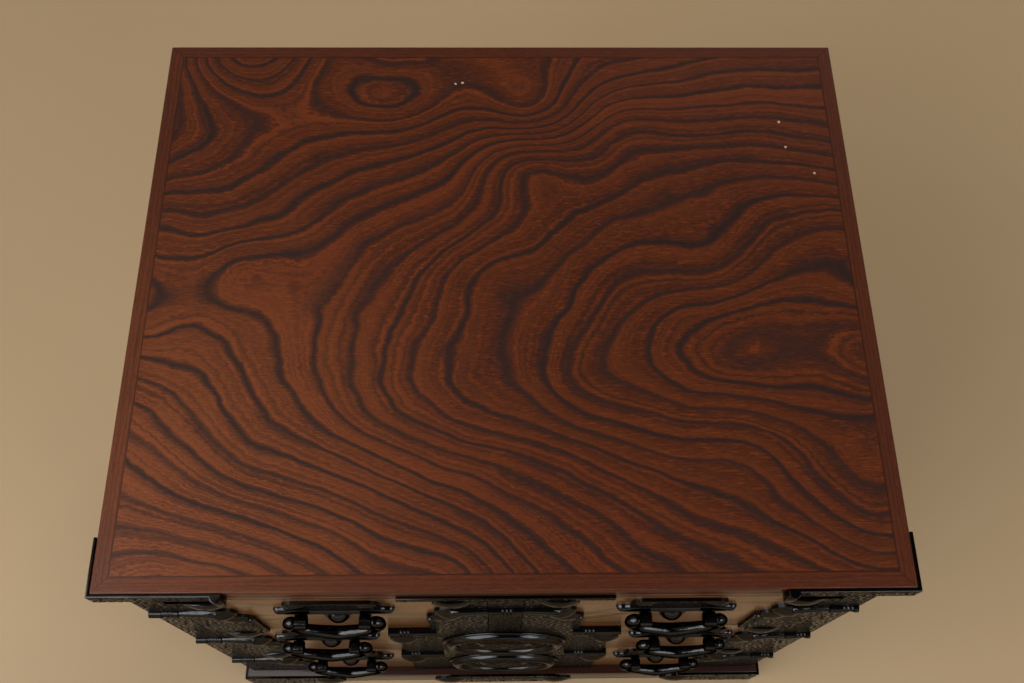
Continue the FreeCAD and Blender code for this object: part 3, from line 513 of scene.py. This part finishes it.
# Painted shade: the faces below the top face, darkened in colour and dulled in coat.
edge_face = remap(tree, spot["Z"], -1.6, -0.6, 1.0, 0.0)
dull = calc(tree, "MAXIMUM", pale_marks, edge_face)
worn = use(tree, scuffs, {"Place": place, "Size": 90.0})
height = calc(tree, "ADD", times(tree, rings["Line"], -0.3), times(tree, seam, -1.0))
height = calc(tree, "MULTIPLY_ADD", dashes["Dash"], -0.3, height)
fill(tree, shader, {
    "Base Color": paint(tree, colour, (
        # Painted shade on the board's edges and underside.
        (times(tree, edge_face, 0.5), PAINTED_EDGE_SHADE),
        # Pale colour of the chips and of the marks along the arris.
        (pale_marks, PALE_MARK))),
    "Roughness": calc(tree, "MULTIPLY_ADD", worn["Patch"], 0.08, 0.30),
    "Normal": bump(tree, height, 0.25, 0.0003),
    "Coat Weight": calc(tree, "MULTIPLY_ADD", dull, -0.3, 0.35),
    "Coat Roughness": 0.3,
    "Specular IOR Level": 0.05})
print("top: %d nodes" % len(tree.nodes))

# %% [markdown]
# ## Black ironwork
# The plates are thin iron, chased with scrolls and finished black. The domed lobes are left smooth. The
# chasing is a bump that follows a spiral round each cell of a Voronoi pattern, and it fades where the
# face curves away. Black iron mirrors little even at a low angle, so the shader is a dark metal whose
# Specular Tint holds its edges down.

# %% Iron materials
scrolls, given, result = new_group(
    "Scroll chasing",
    {"Place": "Vector", "Cell": "Float", "Line": "Float"},
    {"Height": "Float"})
scaled = vector_calc(scrolls, "SCALE", given["Place"], calc(scrolls, "DIVIDE", 1.0, given["Cell"]))
cells = add(scrolls, "TexVoronoi", {"Vector": scaled, "Scale": 1.0, "Randomness": 0.8},
            voronoi_dimensions="2D")
away = split(scrolls, vector_calc(scrolls, "SUBTRACT", scaled, cells.outputs["Position"]))
angle = calc(scrolls, "DIVIDE", calc(scrolls, "ARCTAN2", away["Y"], away["X"]), 2 * math.pi)
hand = calc(scrolls, "GREATER_THAN", split(scrolls, cells.outputs["Color"])["X"], 0.5)
hand = calc(scrolls, "SUBTRACT", times(scrolls, hand, 2.0), 1.0)
turns = times(scrolls, cells.outputs["Distance"], given["Line"])
turns = calc(scrolls, "ADD", turns, times(scrolls, angle, hand))
wave = calc(scrolls, "COSINE", times(scrolls, turns, 2 * math.pi))
fill(scrolls, result, {"Height": remap(scrolls, wave, -0.2, 0.7)})

IRON, WORN_IRON = (0.050, 0.050, 0.052), (0.034, 0.032, 0.030)
GROOVE, DUST_TINT = (0.004, 0.0035, 0.003), (0.10, 0.08, 0.06)


def iron_material(name, chased, hammered, edge):
    """Black iron. Chased plates have scrolls on their flat faces, and forged bars have hammer marks."""
    material, tree, shader = new_material(name)
    place = stretch(tree, object_place(tree), (1 / MM,) * 3)
    spot = split(tree, place)
    facing = split(tree, add(tree, "NewGeometry").outputs["True Normal"])
    forward = calc(tree, "ABSOLUTE", facing["Y"])
    sideways = calc(tree, "ABSOLUTE", facing["X"])
    turned = calc(tree, "GREATER_THAN", sideways, forward)
    run = add(tree, "Mix", {0: turned, 2: spot["X"], 3: spot["Y"]}).outputs[0]
    face = join(tree, X=run, Y=spot["Z"])
    flat = remap(tree, calc(tree, "MAXIMUM", forward, sideways), 0.998, 0.9995)
    chasing = use(tree, scrolls, {"Place": face, "Cell": 15.0, "Line": 3.0})["Height"]
    chasing = times(tree, chasing, flat)
    beaten = noise(tree, place, 0.22, 1.0)
    worn = use(tree, scuffs, {"Place": place, "Size": 18.0})
    lying = use(tree, dust, {"Place": place, "Amount": 0.25})["Dust"]
    height = calc(tree, "MULTIPLY_ADD", chasing, chased, times(tree, beaten, hammered))
    grooves = times(tree, calc(tree, "SUBTRACT", flat, chasing), chased)
    rough = calc(tree, "MULTIPLY_ADD", worn["Patch"], 0.09, 0.10)
    fill(tree, shader, {
        "Base Color": paint(tree, IRON, (
            (worn["Patch"], WORN_IRON),
            (times(tree, grooves, 0.8), GROOVE),
            (times(tree, lying, 0.25), DUST_TINT))),
        "Roughness": calc(tree, "MULTIPLY_ADD", grooves, 0.35, rough),
        "Metallic": 1.0,
        "Specular Tint": (edge, edge, edge, 1),
        "Normal": bump(tree, height, 0.8, 0.0005)})
    return material


chased_iron = iron_material("chased_iron", 1.0, 0.15, 0.55)
forged_iron = iron_material("forged_iron", 0.0, 0.5, 0.10)
disc_iron = iron_material("disc_iron", 0.0, 0.2, 0.45)
print("irons:", chased_iron.name, forged_iron.name, disc_iron.name)

# %% [markdown]
# ## A clean copy of a frame node
# A node of the frame is loose triangles. It may not be changed, so a piece that needs rounded edges or
# smooth shading starts from a copy: its doubles are merged, its flat faces made whole, and its long
# sharp edges rounded. Faces that look straight along an axis stay flat, because smooth shading would
# bend the light on a plate beside its domes.

# %% Pieces from nodes
SQUARE_FACE = 0.9999
MERGE_WITHIN = 0.01 * MM
FLAT_ANGLE, SMOOTH_ANGLE, SHARP_ANGLE = math.radians(1), math.radians(28), math.radians(30)


def clean_copy(name, rounding=0.0):
    """A merged mesh from a node, with flat faces whole and sharp edges rounded."""
    form = bmesh.new()
    form.from_mesh(nodes[name].data)
    bmesh.ops.remove_doubles(form, verts=form.verts, dist=MERGE_WITHIN)
    bmesh.ops.dissolve_limit(form, angle_limit=FLAT_ANGLE, verts=form.verts, edges=form.edges)
    if rounding:
        sharp = [edge for edge in form.edges
                 if len(edge.link_faces) == 2 and edge.calc_face_angle() > SHARP_ANGLE]
        bmesh.ops.bevel(form, geom=sharp, offset=rounding, segments=2, profile=0.5, affect="EDGES",
                        clamp_overlap=True)
    mesh = bpy.data.meshes.new(name)
    form.to_mesh(mesh)
    form.free()
    for polygon in mesh.polygons:
        polygon.use_smooth = max(abs(number) for number in polygon.normal) < SQUARE_FACE
    mesh.set_sharp_from_angle(angle=SMOOTH_ANGLE)
    return mesh


def add_piece(name, mesh, body, material, replaced=()):
    """Link a finished mesh, give it its material, and let it ride on its body."""
    mesh.materials.clear()
    mesh.materials.append(material)
    piece = bpy.data.objects.new(name, mesh)
    bpy.context.scene.collection.objects.link(piece)
    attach(piece, body)
    if replaced:
        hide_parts(*replaced)
    return piece


def dress(node, name, mesh, material):
    """Put a finished mesh in the place of a node, on the same body, and hide the node."""
    return add_piece(name, mesh, nodes[node]["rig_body"], material, [node])


print("copies merge points within %.2f mm" % (MERGE_WITHIN / MM))

# %% [markdown]
# Each board gets its own copy of its look, shifted to another part of the wood, so that no two are
# alike. The grain is upright in the sides and the post, and runs across in the fronts and the rails.

# %% Boards
ARRIS_ROUND = 0.6 * MM
# Each board's wood starts this far from the last one's.
NEXT_WOOD = Vector((137.0, 53.0, 29.0))


def look_for(name):
    """Grain direction and look of a wooden node."""
    if name.startswith("plinth"):
        return ("x" if name.endswith(("_front", "_back")) else "y"), PLINTH
    if name.endswith("_front"):
        return "x", KEYAKI
    if name in ("side_left", "side_right", "centre_post"):
        return "z", CASE
    if name == "top_rail":
        return "x", CASE
    if name.endswith("_sides"):
        return "y", KIRI
    return "x", KIRI


boards = sorted(name for name in nodes if slots[name].endswith("wood") and name != "top_panel")
for index, name in enumerate(boards):
    along, look = look_for(name)
    material = board_material(name + "_wood", along, NEXT_WOOD * index, look)
    dress(name, name + "_board", clean_copy(name, ARRIS_ROUND), material)
dress("top_panel", "top_board", clean_copy("top_panel", ARRIS_ROUND), figured_top)
print("boards:", len(boards) + 1)

# %% [markdown]
# The plates and posts keep their shape from the frame. Only the irons at the edge of the top, which is
# nearest to the eye, have rounded edges. Discs and pulls are made again below.

# %% Ironwork
SOFT_ROUND = 0.7 * MM
SOFT_EDGED = ("slab_corner_left", "slab_corner_right", "rail_plate")
REMADE = ("_disc", "_bail", "_bail_left", "_bail_right")
irons = sorted(name for name in nodes if slots[name].endswith("iron") and not name.endswith(REMADE))
for name in irons:
    material = forged_iron if slots[name] == "forged_iron" else chased_iron
    dress(name, name + "_iron", clean_copy(name, SOFT_ROUND if name in SOFT_EDGED else 0.0), material)
print("ironwork:", len(irons))

# %% [markdown]
# ## The lock discs
# Each lock plate carries a round disc: a half-round rim, and inside it a flower of twelve petals and a
# running vine, raised in the iron. The mesh is rings of points round the middle, each lifted by a
# height that depends on its distance and its angle, so the whole ornament is one formula.

# %% Heights of the disc's ornament
DISC_FLANGE, DISC_FIELD, DISC_RIM, DISC_MARGIN = 1.6, 2.2, 5.0, 3.0
CROWN_RADIUS = 49.0
PETALS = 12
FLOWER_RADIUS, PETAL_HIGH, PETAL_NOTCH = 19.0, 1.7, 4.5
BOSS_RADIUS, BOSS_HIGH = 5.0, 1.9
VINE_WAVES = 6
VINE_RADIUS, VINE_SWING, VINE_HIGH = 32.5, 4.5, 1.25
STEM_WIDTH = 1.1
CURL_PITCH, CURL_RADIUS, CURL_EDGE, CURL_ASIDE = 3.2, 6.4, 1.2, 2.6
BEAD_LINES, LINE_HIGH, LINE_WIDTH = (21.8, 42.6), 0.9, 0.8


def bump_at(distance, width):
    """A soft round ridge, 1 on its line and 0 away from it."""
    return math.exp(-(distance / width) ** 2)


def flower_height(radius, angle):
    """Petals round a boss."""
    if radius < BOSS_RADIUS:
        return BOSS_HIGH * math.sqrt(1 - (radius / BOSS_RADIUS) ** 2)
    petal = abs(math.cos(angle * PETALS / 2))
    reach = FLOWER_RADIUS - PETAL_NOTCH * (1 - petal ** 0.5)
    if radius > reach:
        return 0.0
    along = (radius - BOSS_RADIUS) / (reach - BOSS_RADIUS)
    return PETAL_HIGH * math.sqrt(petal) * math.sin(math.pi * along ** 0.8) ** 0.5


def vine_height(radius, angle):
    """A wavy stem, with a curl in each of its bends."""
    stem = VINE_RADIUS + VINE_SWING * math.sin(VINE_WAVES * angle)
    bend = math.pi / VINE_WAVES
    count = math.floor(angle / bend)
    side = 1 if count % 2 == 0 else -1
    middle = (count + 0.5) * bend
    root = VINE_RADIUS - side * CURL_ASIDE
    out, over = radius - root, root * (angle - middle)
    distance = math.hypot(out, over)
    turn = side * math.atan2(over, out)
    curl = 0.5 + 0.5 * math.cos(2 * math.pi * distance / CURL_PITCH - turn)
    inside = min(1.0, max(0.0, (CURL_RADIUS - distance) / CURL_EDGE))
    return VINE_HIGH * max(bump_at(radius - stem, STEM_WIDTH), curl * inside)


def disc_height(radius, angle):
    """Height of the field over the disc's back."""
    ornament = flower_height(radius, angle)
    if radius > FLOWER_RADIUS + 4:
        ornament = max(ornament, vine_height(radius, angle))
    for line in BEAD_LINES:
        ornament = max(ornament, LINE_HIGH * bump_at(radius - line, LINE_WIDTH))
    return DISC_FLANGE + DISC_FIELD * (1 - (radius / CROWN_RADIUS) ** 2) + ornament


print("petals:", PETALS, "curls:", 2 * VINE_WAVES)

# %% [markdown]
# Each round shape below is a row of loops of points with faces between them. One helper joins the
# loops, and the other turns the faces outwards and shades them smooth.

# %% Loops of points
def join_loops(form, loops):
    """Four-sided faces between each loop of points and the next."""
    for first, second in zip(loops, loops[1:]):
        for side in range(len(first)):
            after = (side + 1) % len(first)
            form.faces.new((first[side], first[after], second[after], second[side]))


def finished_mesh(form, name, smooth=True):
    """A mesh from a closed form, its faces turned outwards. Ends of many sides stay flat."""
    bmesh.ops.scale(form, vec=(MM,) * 3, verts=form.verts)
    bmesh.ops.recalc_face_normals(form, faces=form.faces)
    mesh = bpy.data.meshes.new(name)
    form.to_mesh(mesh)
    form.free()
    for polygon in mesh.polygons:
        polygon.use_smooth = smooth and len(polygon.vertices) <= 4
    return mesh

# %% [markdown]
# The disc's points lie on rings that start at the middle and go out over the rim and down to the back.
# The field's rings take their height from the ornament, and the rim's from a half circle.

# %% Disc meshes
DISC_STEPS = 288
FIELD_STEP = 0.7
RIM_STEPS = 18
EDGE_IN, EDGE_DOWN = 0.4, 0.5


def disc_rings(outer):
    """Radius of each ring, and its height, or None where the ornament gives it."""
    rim_run = outer - DISC_MARGIN - DISC_RIM
    field = rim_run - DISC_RIM
    count = int(field / FIELD_STEP)
    rings = [(field * (index + 1) / count, None) for index in range(count)]
    for index in range(1, RIM_STEPS):
        angle = math.pi * (1 - index / RIM_STEPS)
        rings.append((rim_run + DISC_RIM * math.cos(angle), DISC_FLANGE + DISC_RIM * math.sin(angle)))
    return rings + [(rim_run + DISC_RIM, DISC_FLANGE), (outer - EDGE_IN, DISC_FLANGE),
                    (outer, DISC_FLANGE - EDGE_DOWN), (outer, 0.0)]


def lock_disc(node):
    """A closed disc with its rim and its raised ornament, where its node lies."""
    low, high = box_mm(node)
    middle = (low + high) / 2
    form = bmesh.new()
    front = form.verts.new((middle.x, high.y - disc_height(0, 0), middle.z))
    back = form.verts.new((middle.x, high.y, middle.z))
    loops = []
    for radius, fixed in disc_rings((high.x - low.x) / 2):
        loop = []
        for step in range(DISC_STEPS):
            angle = 2 * math.pi * step / DISC_STEPS
            lift = disc_height(radius, angle) if fixed is None else fixed
            loop.append(form.verts.new((middle.x + radius * math.cos(angle), high.y - lift,
                                        middle.z + radius * math.sin(angle))))
        loops.append(loop)
    for step in range(DISC_STEPS):
        after = (step + 1) % DISC_STEPS
        form.faces.new((front, loops[0][step], loops[0][after]))
        form.faces.new((back, loops[-1][after], loops[-1][step]))
    join_loops(form, loops)
    return finished_mesh(form, node)


for node in sorted(name for name in nodes if name.endswith("_disc")):
    disc = dress(node, node + "_iron", lock_disc(node), disc_iron)
    print(disc.name, "faces:", len(disc.data.polygons))

# %% [markdown]
# ## The hanging pulls
# A pull is one forged bar. Its ends are thin pins that turn in the eyes of the posts. Outside each eye
# the bar swells into a round shoulder, bends down, and swells again into the bow that the fingers hold.
# It is a tube along a smooth curve through stations, which give the place and the thickness.

# %% Stations of a pull
# Outwards from the middle, down from the pin, and the bar's radius.
PULL = ((24.0, 0.0, 2.5), (29.7, 0.0, 2.5), (30.1, 0.0, 4.2), (31.9, 0.3, 5.2), (34.3, 3.6, 5.5),
        (34.9, 9.6, 5.2), (33.2, 17.5, 5.0), (28.0, 24.8, 5.0), (19.5, 29.8, 5.3), (10.0, 34.0, 5.9),
        (0.0, 36.6, 6.3))
LOWEST = PULL[-1][1]
PULL_LEAN = 2.4
PULL_STEPS = 8
PULL_SIDES = 20
PIN_RADIUS = 3.0
DEEPER, FLATTER = 1.04, 0.90
EYE_RADIUS = 6.0


def smooth_row(points, steps):
    """Points on a smooth curve through some stations, by the Catmull-Rom formula."""
    row = []
    last = len(points) - 1
    for index in range(last):
        near = [Vector(points[min(max(index + away, 0), last)]) for away in (-1, 0, 1, 2)]
        for step in range(steps):
            share = step / steps
            weights = (-0.5 * share + share ** 2 - 0.5 * share ** 3, 1 - 2.5 * share ** 2 + 1.5 * share ** 3,
                       0.5 * share + 2 * share ** 2 - 1.5 * share ** 3, -0.5 * share ** 2 + 0.5 * share ** 3)
            row.append(sum((point * weight for point, weight in zip(near, weights)), Vector((0, 0, 0))))
    row.append(Vector(points[last]))
    return row


def pull_mesh(node):
    """A closed tube through both halves of the stations, where its node hangs."""
    low, high = box_mm(node)
    middle_x = (low.x + high.x) / 2
    posts_low, posts_high = box_mm(node.split("_bail")[0] + "_handle_posts")
    pin_z = (posts_low.z + posts_high.z) / 2
    pin_y = posts_low.y + EYE_RADIUS
    mirrored = [(-out, down, radius) for out, down, radius in PULL]
    row = smooth_row(mirrored + list(PULL)[-2::-1], PULL_STEPS)
    form = bmesh.new()
    loops = []
    for index, (out, down, radius) in enumerate(row):
        before, after = row[max(index - 1, 0)], row[min(index + 1, len(row) - 1)]
        along = Vector((after.x - before.x, before.y - after.y)).normalized()
        loop = []
        for side in range(PULL_SIDES):
            angle = 2 * math.pi * side / PULL_SIDES
            deep, flat = (1.0, 1.0) if radius < PIN_RADIUS else (DEEPER, FLATTER)
            lift, forward = radius * deep * math.cos(angle), radius * flat * math.sin(angle)
            loop.append(form.verts.new((middle_x + out - along.y * lift,
                                        pin_y - PULL_LEAN * (down / LOWEST) ** 2 - forward,
                                        pin_z - down + along.x * lift)))
        loops.append(loop)
    join_loops(form, loops)
    form.faces.new(loops[0])
    form.faces.new(loops[-1])
    return finished_mesh(form, node)


for node in sorted(name for name in nodes if name.endswith(("_bail", "_bail_left", "_bail_right"))):
    pull = dress(node, node + "_pull", pull_mesh(node), forged_iron)
    print(pull.name, [round(number / MM, 1) for number in pull.dimensions])

# %% [markdown]
# ## Nails and beads
# Small domed nails hold every plate, and three squashed beads sit on the neck of each band. Both are
# balls, sunk in the iron. Geometry Nodes repeat them: one tree puts a ball at each of some points, each
# ball a little larger or smaller than the next, as hand-made nails are.

# %% Tree of studs
studs, given, result = new_group(
    "studs",
    {"Geometry": "Geometry", "Size": "Vector", "Uneven": "Float", "Seed": "Int", "Material": "Material"},
    {"Geometry": "Geometry"}, "GeometryNodeTree")
ball = add(studs, "GeometryNodeMeshUVSphere", {"Segments": 12, "Rings": 8, "Radius": 1.0}).outputs["Mesh"]
least = calc(studs, "SUBTRACT", 1.0, given["Uneven"])
vary = add(studs, "FunctionNodeRandomValue", {2: least, 3: 1.0, "Seed": given["Seed"]}, data_type="FLOAT")
sized = vector_calc(studs, "SCALE", given["Size"], vary.outputs[1])
placed = add(studs, "GeometryNodeInstanceOnPoints",
             {"Points": given["Geometry"], "Instance": ball, "Scale": sized}).outputs[0]
real = add(studs, "GeometryNodeRealizeInstances", {0: placed}).outputs[0]
painted = add(studs, "GeometryNodeSetMaterial", {"Geometry": real, "Material": given["Material"]})
fill(studs, result, {"Geometry": painted.outputs[0]})
print("tree:", studs.name, len(studs.nodes), "nodes")

# %% [markdown]
# A modifier runs the tree on a mesh that is only points. Its inputs are set by each socket's
# identifier, the result is copied to a plain mesh, and the points are thrown away with their modifier.

# %% Placing studs
UNEVEN = 0.08
STUD_SEED = 7


def stud_mesh(name, points, size, material):
    """One mesh with a ball at each point."""
    mesh = bpy.data.meshes.new(name)
    mesh.from_pydata([tuple(number * MM for number in point) for point in points], [], [])
    holder = bpy.data.objects.new(name, mesh)
    bpy.context.scene.collection.objects.link(holder)
    modifier = holder.modifiers.new("studs", "NODES")
    modifier.node_group = studs
    values = {"Size": tuple(number * MM for number in size), "Uneven": UNEVEN, "Seed": STUD_SEED,
              "Material": material}
    for item in studs.interface.items_tree:
        if item.in_out == "INPUT" and item.name in values:
            modifier[item.identifier] = values[item.name]
    graph = bpy.context.evaluated_depsgraph_get()
    made = bpy.data.meshes.new_from_object(holder.evaluated_get(graph))
    bpy.data.objects.remove(holder)
    for polygon in made.polygons:
        polygon.use_smooth = True
    return made

# %% [markdown]
# The nails' places are measured from the pieces that they hold: across from the middle or from a seam,
# and up or down from the foot or the top of a front.

# %% Points of the nails
NAIL = (1.8, 1.8, 1.8)
NAIL_SINK = 0.8
# From the top of a row down to the band across it, and from there to the band's middle.
BREAK, BAND = 33.0, 4.2
LEAF_THICK = 2.6
PLATE_Y = box_mm("rail_plate")[0].y
FIRST_TOP = box_mm("left_drawer_front")[1].z
PITCH = FIRST_TOP - box_mm("middle_drawer_front")[1].z
ROW_TOPS = [FIRST_TOP - PITCH * row for row in range(3)]


def on_face(points, face_y=PLATE_Y):
    """Nail points on a face that looks forward."""
    return [(x, face_y + NAIL_SINK, z) for x, z in points]


def both_sides(points):
    """Points and their twins on the other side of the middle."""
    return [(side * x, z) for side in (-1, 1) for x, z in points]


def middle_z(node):
    """Middle height of a node."""
    return sum(corner.z for corner in box_mm(node)) / 2


slab_nails = [(x, middle_z("top_panel")) for x in (297, 272, 247, 224)]
rail_nails = [(x, middle_z("rail_plate")) for x in (12, 45, 76)]
case_nails = on_face(both_sides(slab_nails + rail_nails))
for top in ROW_TOPS:
    case_nails += on_face(both_sides([(265, top - 6), (265, top - 26), (265, top - BREAK - 14),
                                      (265, top - BREAK - 60), (265, top - 125)]))
case_nails += on_face([(0, ROW_TOPS[0] - 6), (0, ROW_TOPS[0] - 25), (-6, ROW_TOPS[0] - BREAK - 14),
                       (6, ROW_TOPS[0] - BREAK - 14), (0, ROW_TOPS[1] + 8)])
case_nails += on_face(both_sides([(278, 8), (278, 45), (240, 8), (240, 45), (214, 26), (0, 8), (0, 45),
                                  (36, 8), (36, 45)]), box_mm("plinth_centre_plate")[1].y - LEAF_THICK)
nails = {"case": case_nails}
handles = {}
for name in DRAWERS:
    bails = [box_mm(node) for node in nodes if node.startswith(name + "_bail")]
    handles[name] = sorted((low.x + high.x) / 2 for low, high in bails)
    low, high = box_mm(name + "_front")
    top, foot = high.z, low.z
    points = []
    for seam_x, side in ((low.x, 1), (high.x, -1)):
        for away, z in ((6, top - 5), (6, top - 26), (6, top - BREAK - 13), (20, top - BREAK - 40),
                        (6, foot + 40), (6, foot + 7), (26, foot + 7), (44, foot + 7), (44, foot + 40)):
            points.append((seam_x + side * away, z))
    for middle in handles[name]:
        points += [(middle - 20, top - 11), (middle, top - 11), (middle + 20, top - 11)]
    if name + "_lock_plate" in nodes:
        points += both_sides([(92, top - 18), (64, top - 16), (92, top - 72), (92, foot + 8), (66, foot + 8),
                              (30, foot + 4)])
    nails[name] = on_face(points)
print("nails:", {body: len(points) for body, points in nails.items()})

# %% [markdown]
# Each body carries one mesh of nails and one of beads. The beads sit three to a neck, the narrow part
# of a band behind its end block.

# %% Nail and bead meshes
BEAD = (1.9, 4.1, 4.1)
BEAD_STEP = 3.3
# Length of a band's end block and of its neck, and where the bands start, from the middle.
BLOCK, NECK = 9.5, 10.0
POST_BAND, EAR_HALF, EAR_START = -13.5, 102.0, 60.0


def add_studs(body, ending, points, size):
    """A piece of nails or beads that rides on a body."""
    name = body + ending
    add_piece(name, stud_mesh(name, points, size, forged_iron), body, forged_iron)


def neck_middle(start):
    """Middle of a band's neck, from the band's left end."""
    return start + BLOCK + NECK / 2


for body, points in nails.items():
    add_studs(body, "_nails", points, NAIL)
post_starts = [box_mm(node)[0].x for node in ("post_plates_left", "post_plates_right")]
necks = {"case": [(neck_middle(POST_BAND), ROW_TOPS[0] - BREAK - BAND)]}
for top in ROW_TOPS:
    necks["case"] += [(neck_middle(start), top - BREAK - BAND) for start in post_starts]
for name, top in (("middle_drawer", ROW_TOPS[1]), ("lower_drawer", ROW_TOPS[2])):
    necks[name] = [(neck_middle(start), top - BAND) for start in (-EAR_HALF, EAR_START)]
for body, places in necks.items():
    points = [(x + step * BEAD_STEP, PLATE_Y, z) for x, z in places for step in (-1, 0, 1)]
    add_studs(body, "_beads", points, BEAD)
print("beads on", sum(len(places) for places in necks.values()), "necks")

# %% [markdown]
# ## Clinched prongs
# Each post of a pull is a split pin. Behind the front its two legs are bent flat against the wood, one
# up and one down, and that locks the pull in place. Each leg is a flat bar that dips to the wood and
# narrows to its tip, made as a row of small rectangles joined by faces.

# %% Prong meshes
EYE_HALF = 25.0
BAR_DROP = 36.0
PRONG_ROOT, PRONG_TIP, PRONG_THICK = 4.2, 1.4, 1.1
PRONG_REACH = 12.0
PRONG_HUMP, HUMP_SHARE = 1.5, 0.3
PRONG_STEPS = 8
PRONG_GAP = 0.1
BACK_Y = box_mm("left_drawer_front")[1].y


def prong_mesh(name, posts):
    """Two bent legs behind each post, as one mesh."""
    form = bmesh.new()
    for x, z in posts:
        for side in (-1, 1):
            rows = []
            for step in range(PRONG_STEPS + 1):
                share = step / PRONG_STEPS
                half = (PRONG_ROOT + (PRONG_TIP - PRONG_ROOT) * share) / 2
                near = BACK_Y + PRONG_GAP + PRONG_HUMP * bump_at(share, HUMP_SHARE)
                far = near + PRONG_THICK
                at_z = z + side * PRONG_REACH * share
                corners = ((x - half, near), (x + half, near), (x + half, far), (x - half, far))
                rows.append([form.verts.new((*corner, at_z)) for corner in corners])
            join_loops(form, rows)
            form.faces.new(rows[0])
            form.faces.new(rows[-1])
    return finished_mesh(form, name, smooth=False)


for name in DRAWERS:
    z = box_mm(name + "_front")[1].z - BAR_DROP
    posts = [(middle + side * EYE_HALF, z) for middle in handles[name] for side in (-1, 1)]
    add_piece(name + "_prongs", prong_mesh(name + "_prongs", posts), name, forged_iron)
    print(name, "prongs:", 2 * len(posts))

# %% [markdown]
# ## Floor and light
# A large plain square carries the chest, and faint noise keeps it from one flat colour.

# %% Floor
FLOOR_HALF = 6.0
FLOOR_LOW, FLOOR_HIGH = (0.50, 0.350, 0.195), (0.54, 0.385, 0.215)
material, tree, shader = new_material("pale_floor")
clouds = noise(tree, object_place(tree), 3.0, 4.0)
fill(tree, shader, {"Base Color": blend(tree, clouds, FLOOR_LOW, FLOOR_HIGH), "Roughness": 0.6})
mesh = bpy.data.meshes.new("floor")
mesh.from_pydata([(-FLOOR_HALF, -FLOOR_HALF, 0), (FLOOR_HALF, -FLOOR_HALF, 0),
                  (FLOOR_HALF, FLOOR_HALF, 0), (-FLOOR_HALF, FLOOR_HALF, 0)], [], [(0, 1, 2, 3)])
mesh.materials.append(material)
floor = bpy.data.objects.new("floor", mesh)
bpy.context.scene.collection.objects.link(floor)
print("floor: %.0f m wide" % (2 * FLOOR_HALF))

# %% [markdown]
# Three broad lamps light the chest, so that the shadows are soft and the lacquer shows wide calm
# reflections. The one behind is kept out of reflections. The sky is pale at the horizon and dark
# overhead, with one soft glow that stands for a window.

# %% Lamps and world
AIM = Vector((0, 0, 0.3))


def area_lamp(name, at, size, power, colour):
    """A square soft lamp turned towards the chest."""
    lamp = bpy.data.lights.new(name, "AREA")
    lamp.shape = "SQUARE"
    lamp.size = size
    lamp.energy = power
    lamp.color = colour
    holder = bpy.data.objects.new(name, lamp)
    holder.location = at
    holder.rotation_euler = (AIM - Vector(at)).to_track_quat("-Z", "Y").to_euler()
    holder.visible_camera = False
    bpy.context.scene.collection.objects.link(holder)
    return holder


area_lamp("key", (-1.6, -1.1, 1.6), 2.0, 43, (0.97, 0.98, 1.0))
area_lamp("fill", (1.9, -1.5, 1.6), 1.4, 21, (0.93, 0.96, 1.0))
behind = area_lamp("behind", (2.0, 4.5, 3.5), 2.6, 120, (1.0, 0.98, 0.95))
behind.visible_glossy = False
WINDOW_WAY = (-0.418, 0.149, 0.896)
HORIZON, OVERHEAD = (0.80, 0.80, 0.80), (0.055, 0.045, 0.040)
WINDOW, BACKDROP = (0.62, 0.50, 0.40), (0.95, 0.93, 0.9)
world = bpy.data.worlds.new("studio")
world.use_nodes = True
tree = world.node_tree
towards = add(tree, "TexCoord").outputs["Generated"]
sky = paint(tree, HORIZON, (
    (remap(tree, split(tree, towards)["Z"], 0.0, 0.62), OVERHEAD),
    (remap(tree, vector_calc(tree, "DOT_PRODUCT", towards, WINDOW_WAY), 0.88, 1.0), WINDOW),
    (add(tree, "LightPath").outputs["Is Camera Ray"], BACKDROP)))
fill(tree, tree.nodes["Background"].inputs, {"Color": sky, "Strength": 0.75})
bpy.context.scene.world = world
bpy.context.scene.view_settings.view_transform = "Standard"
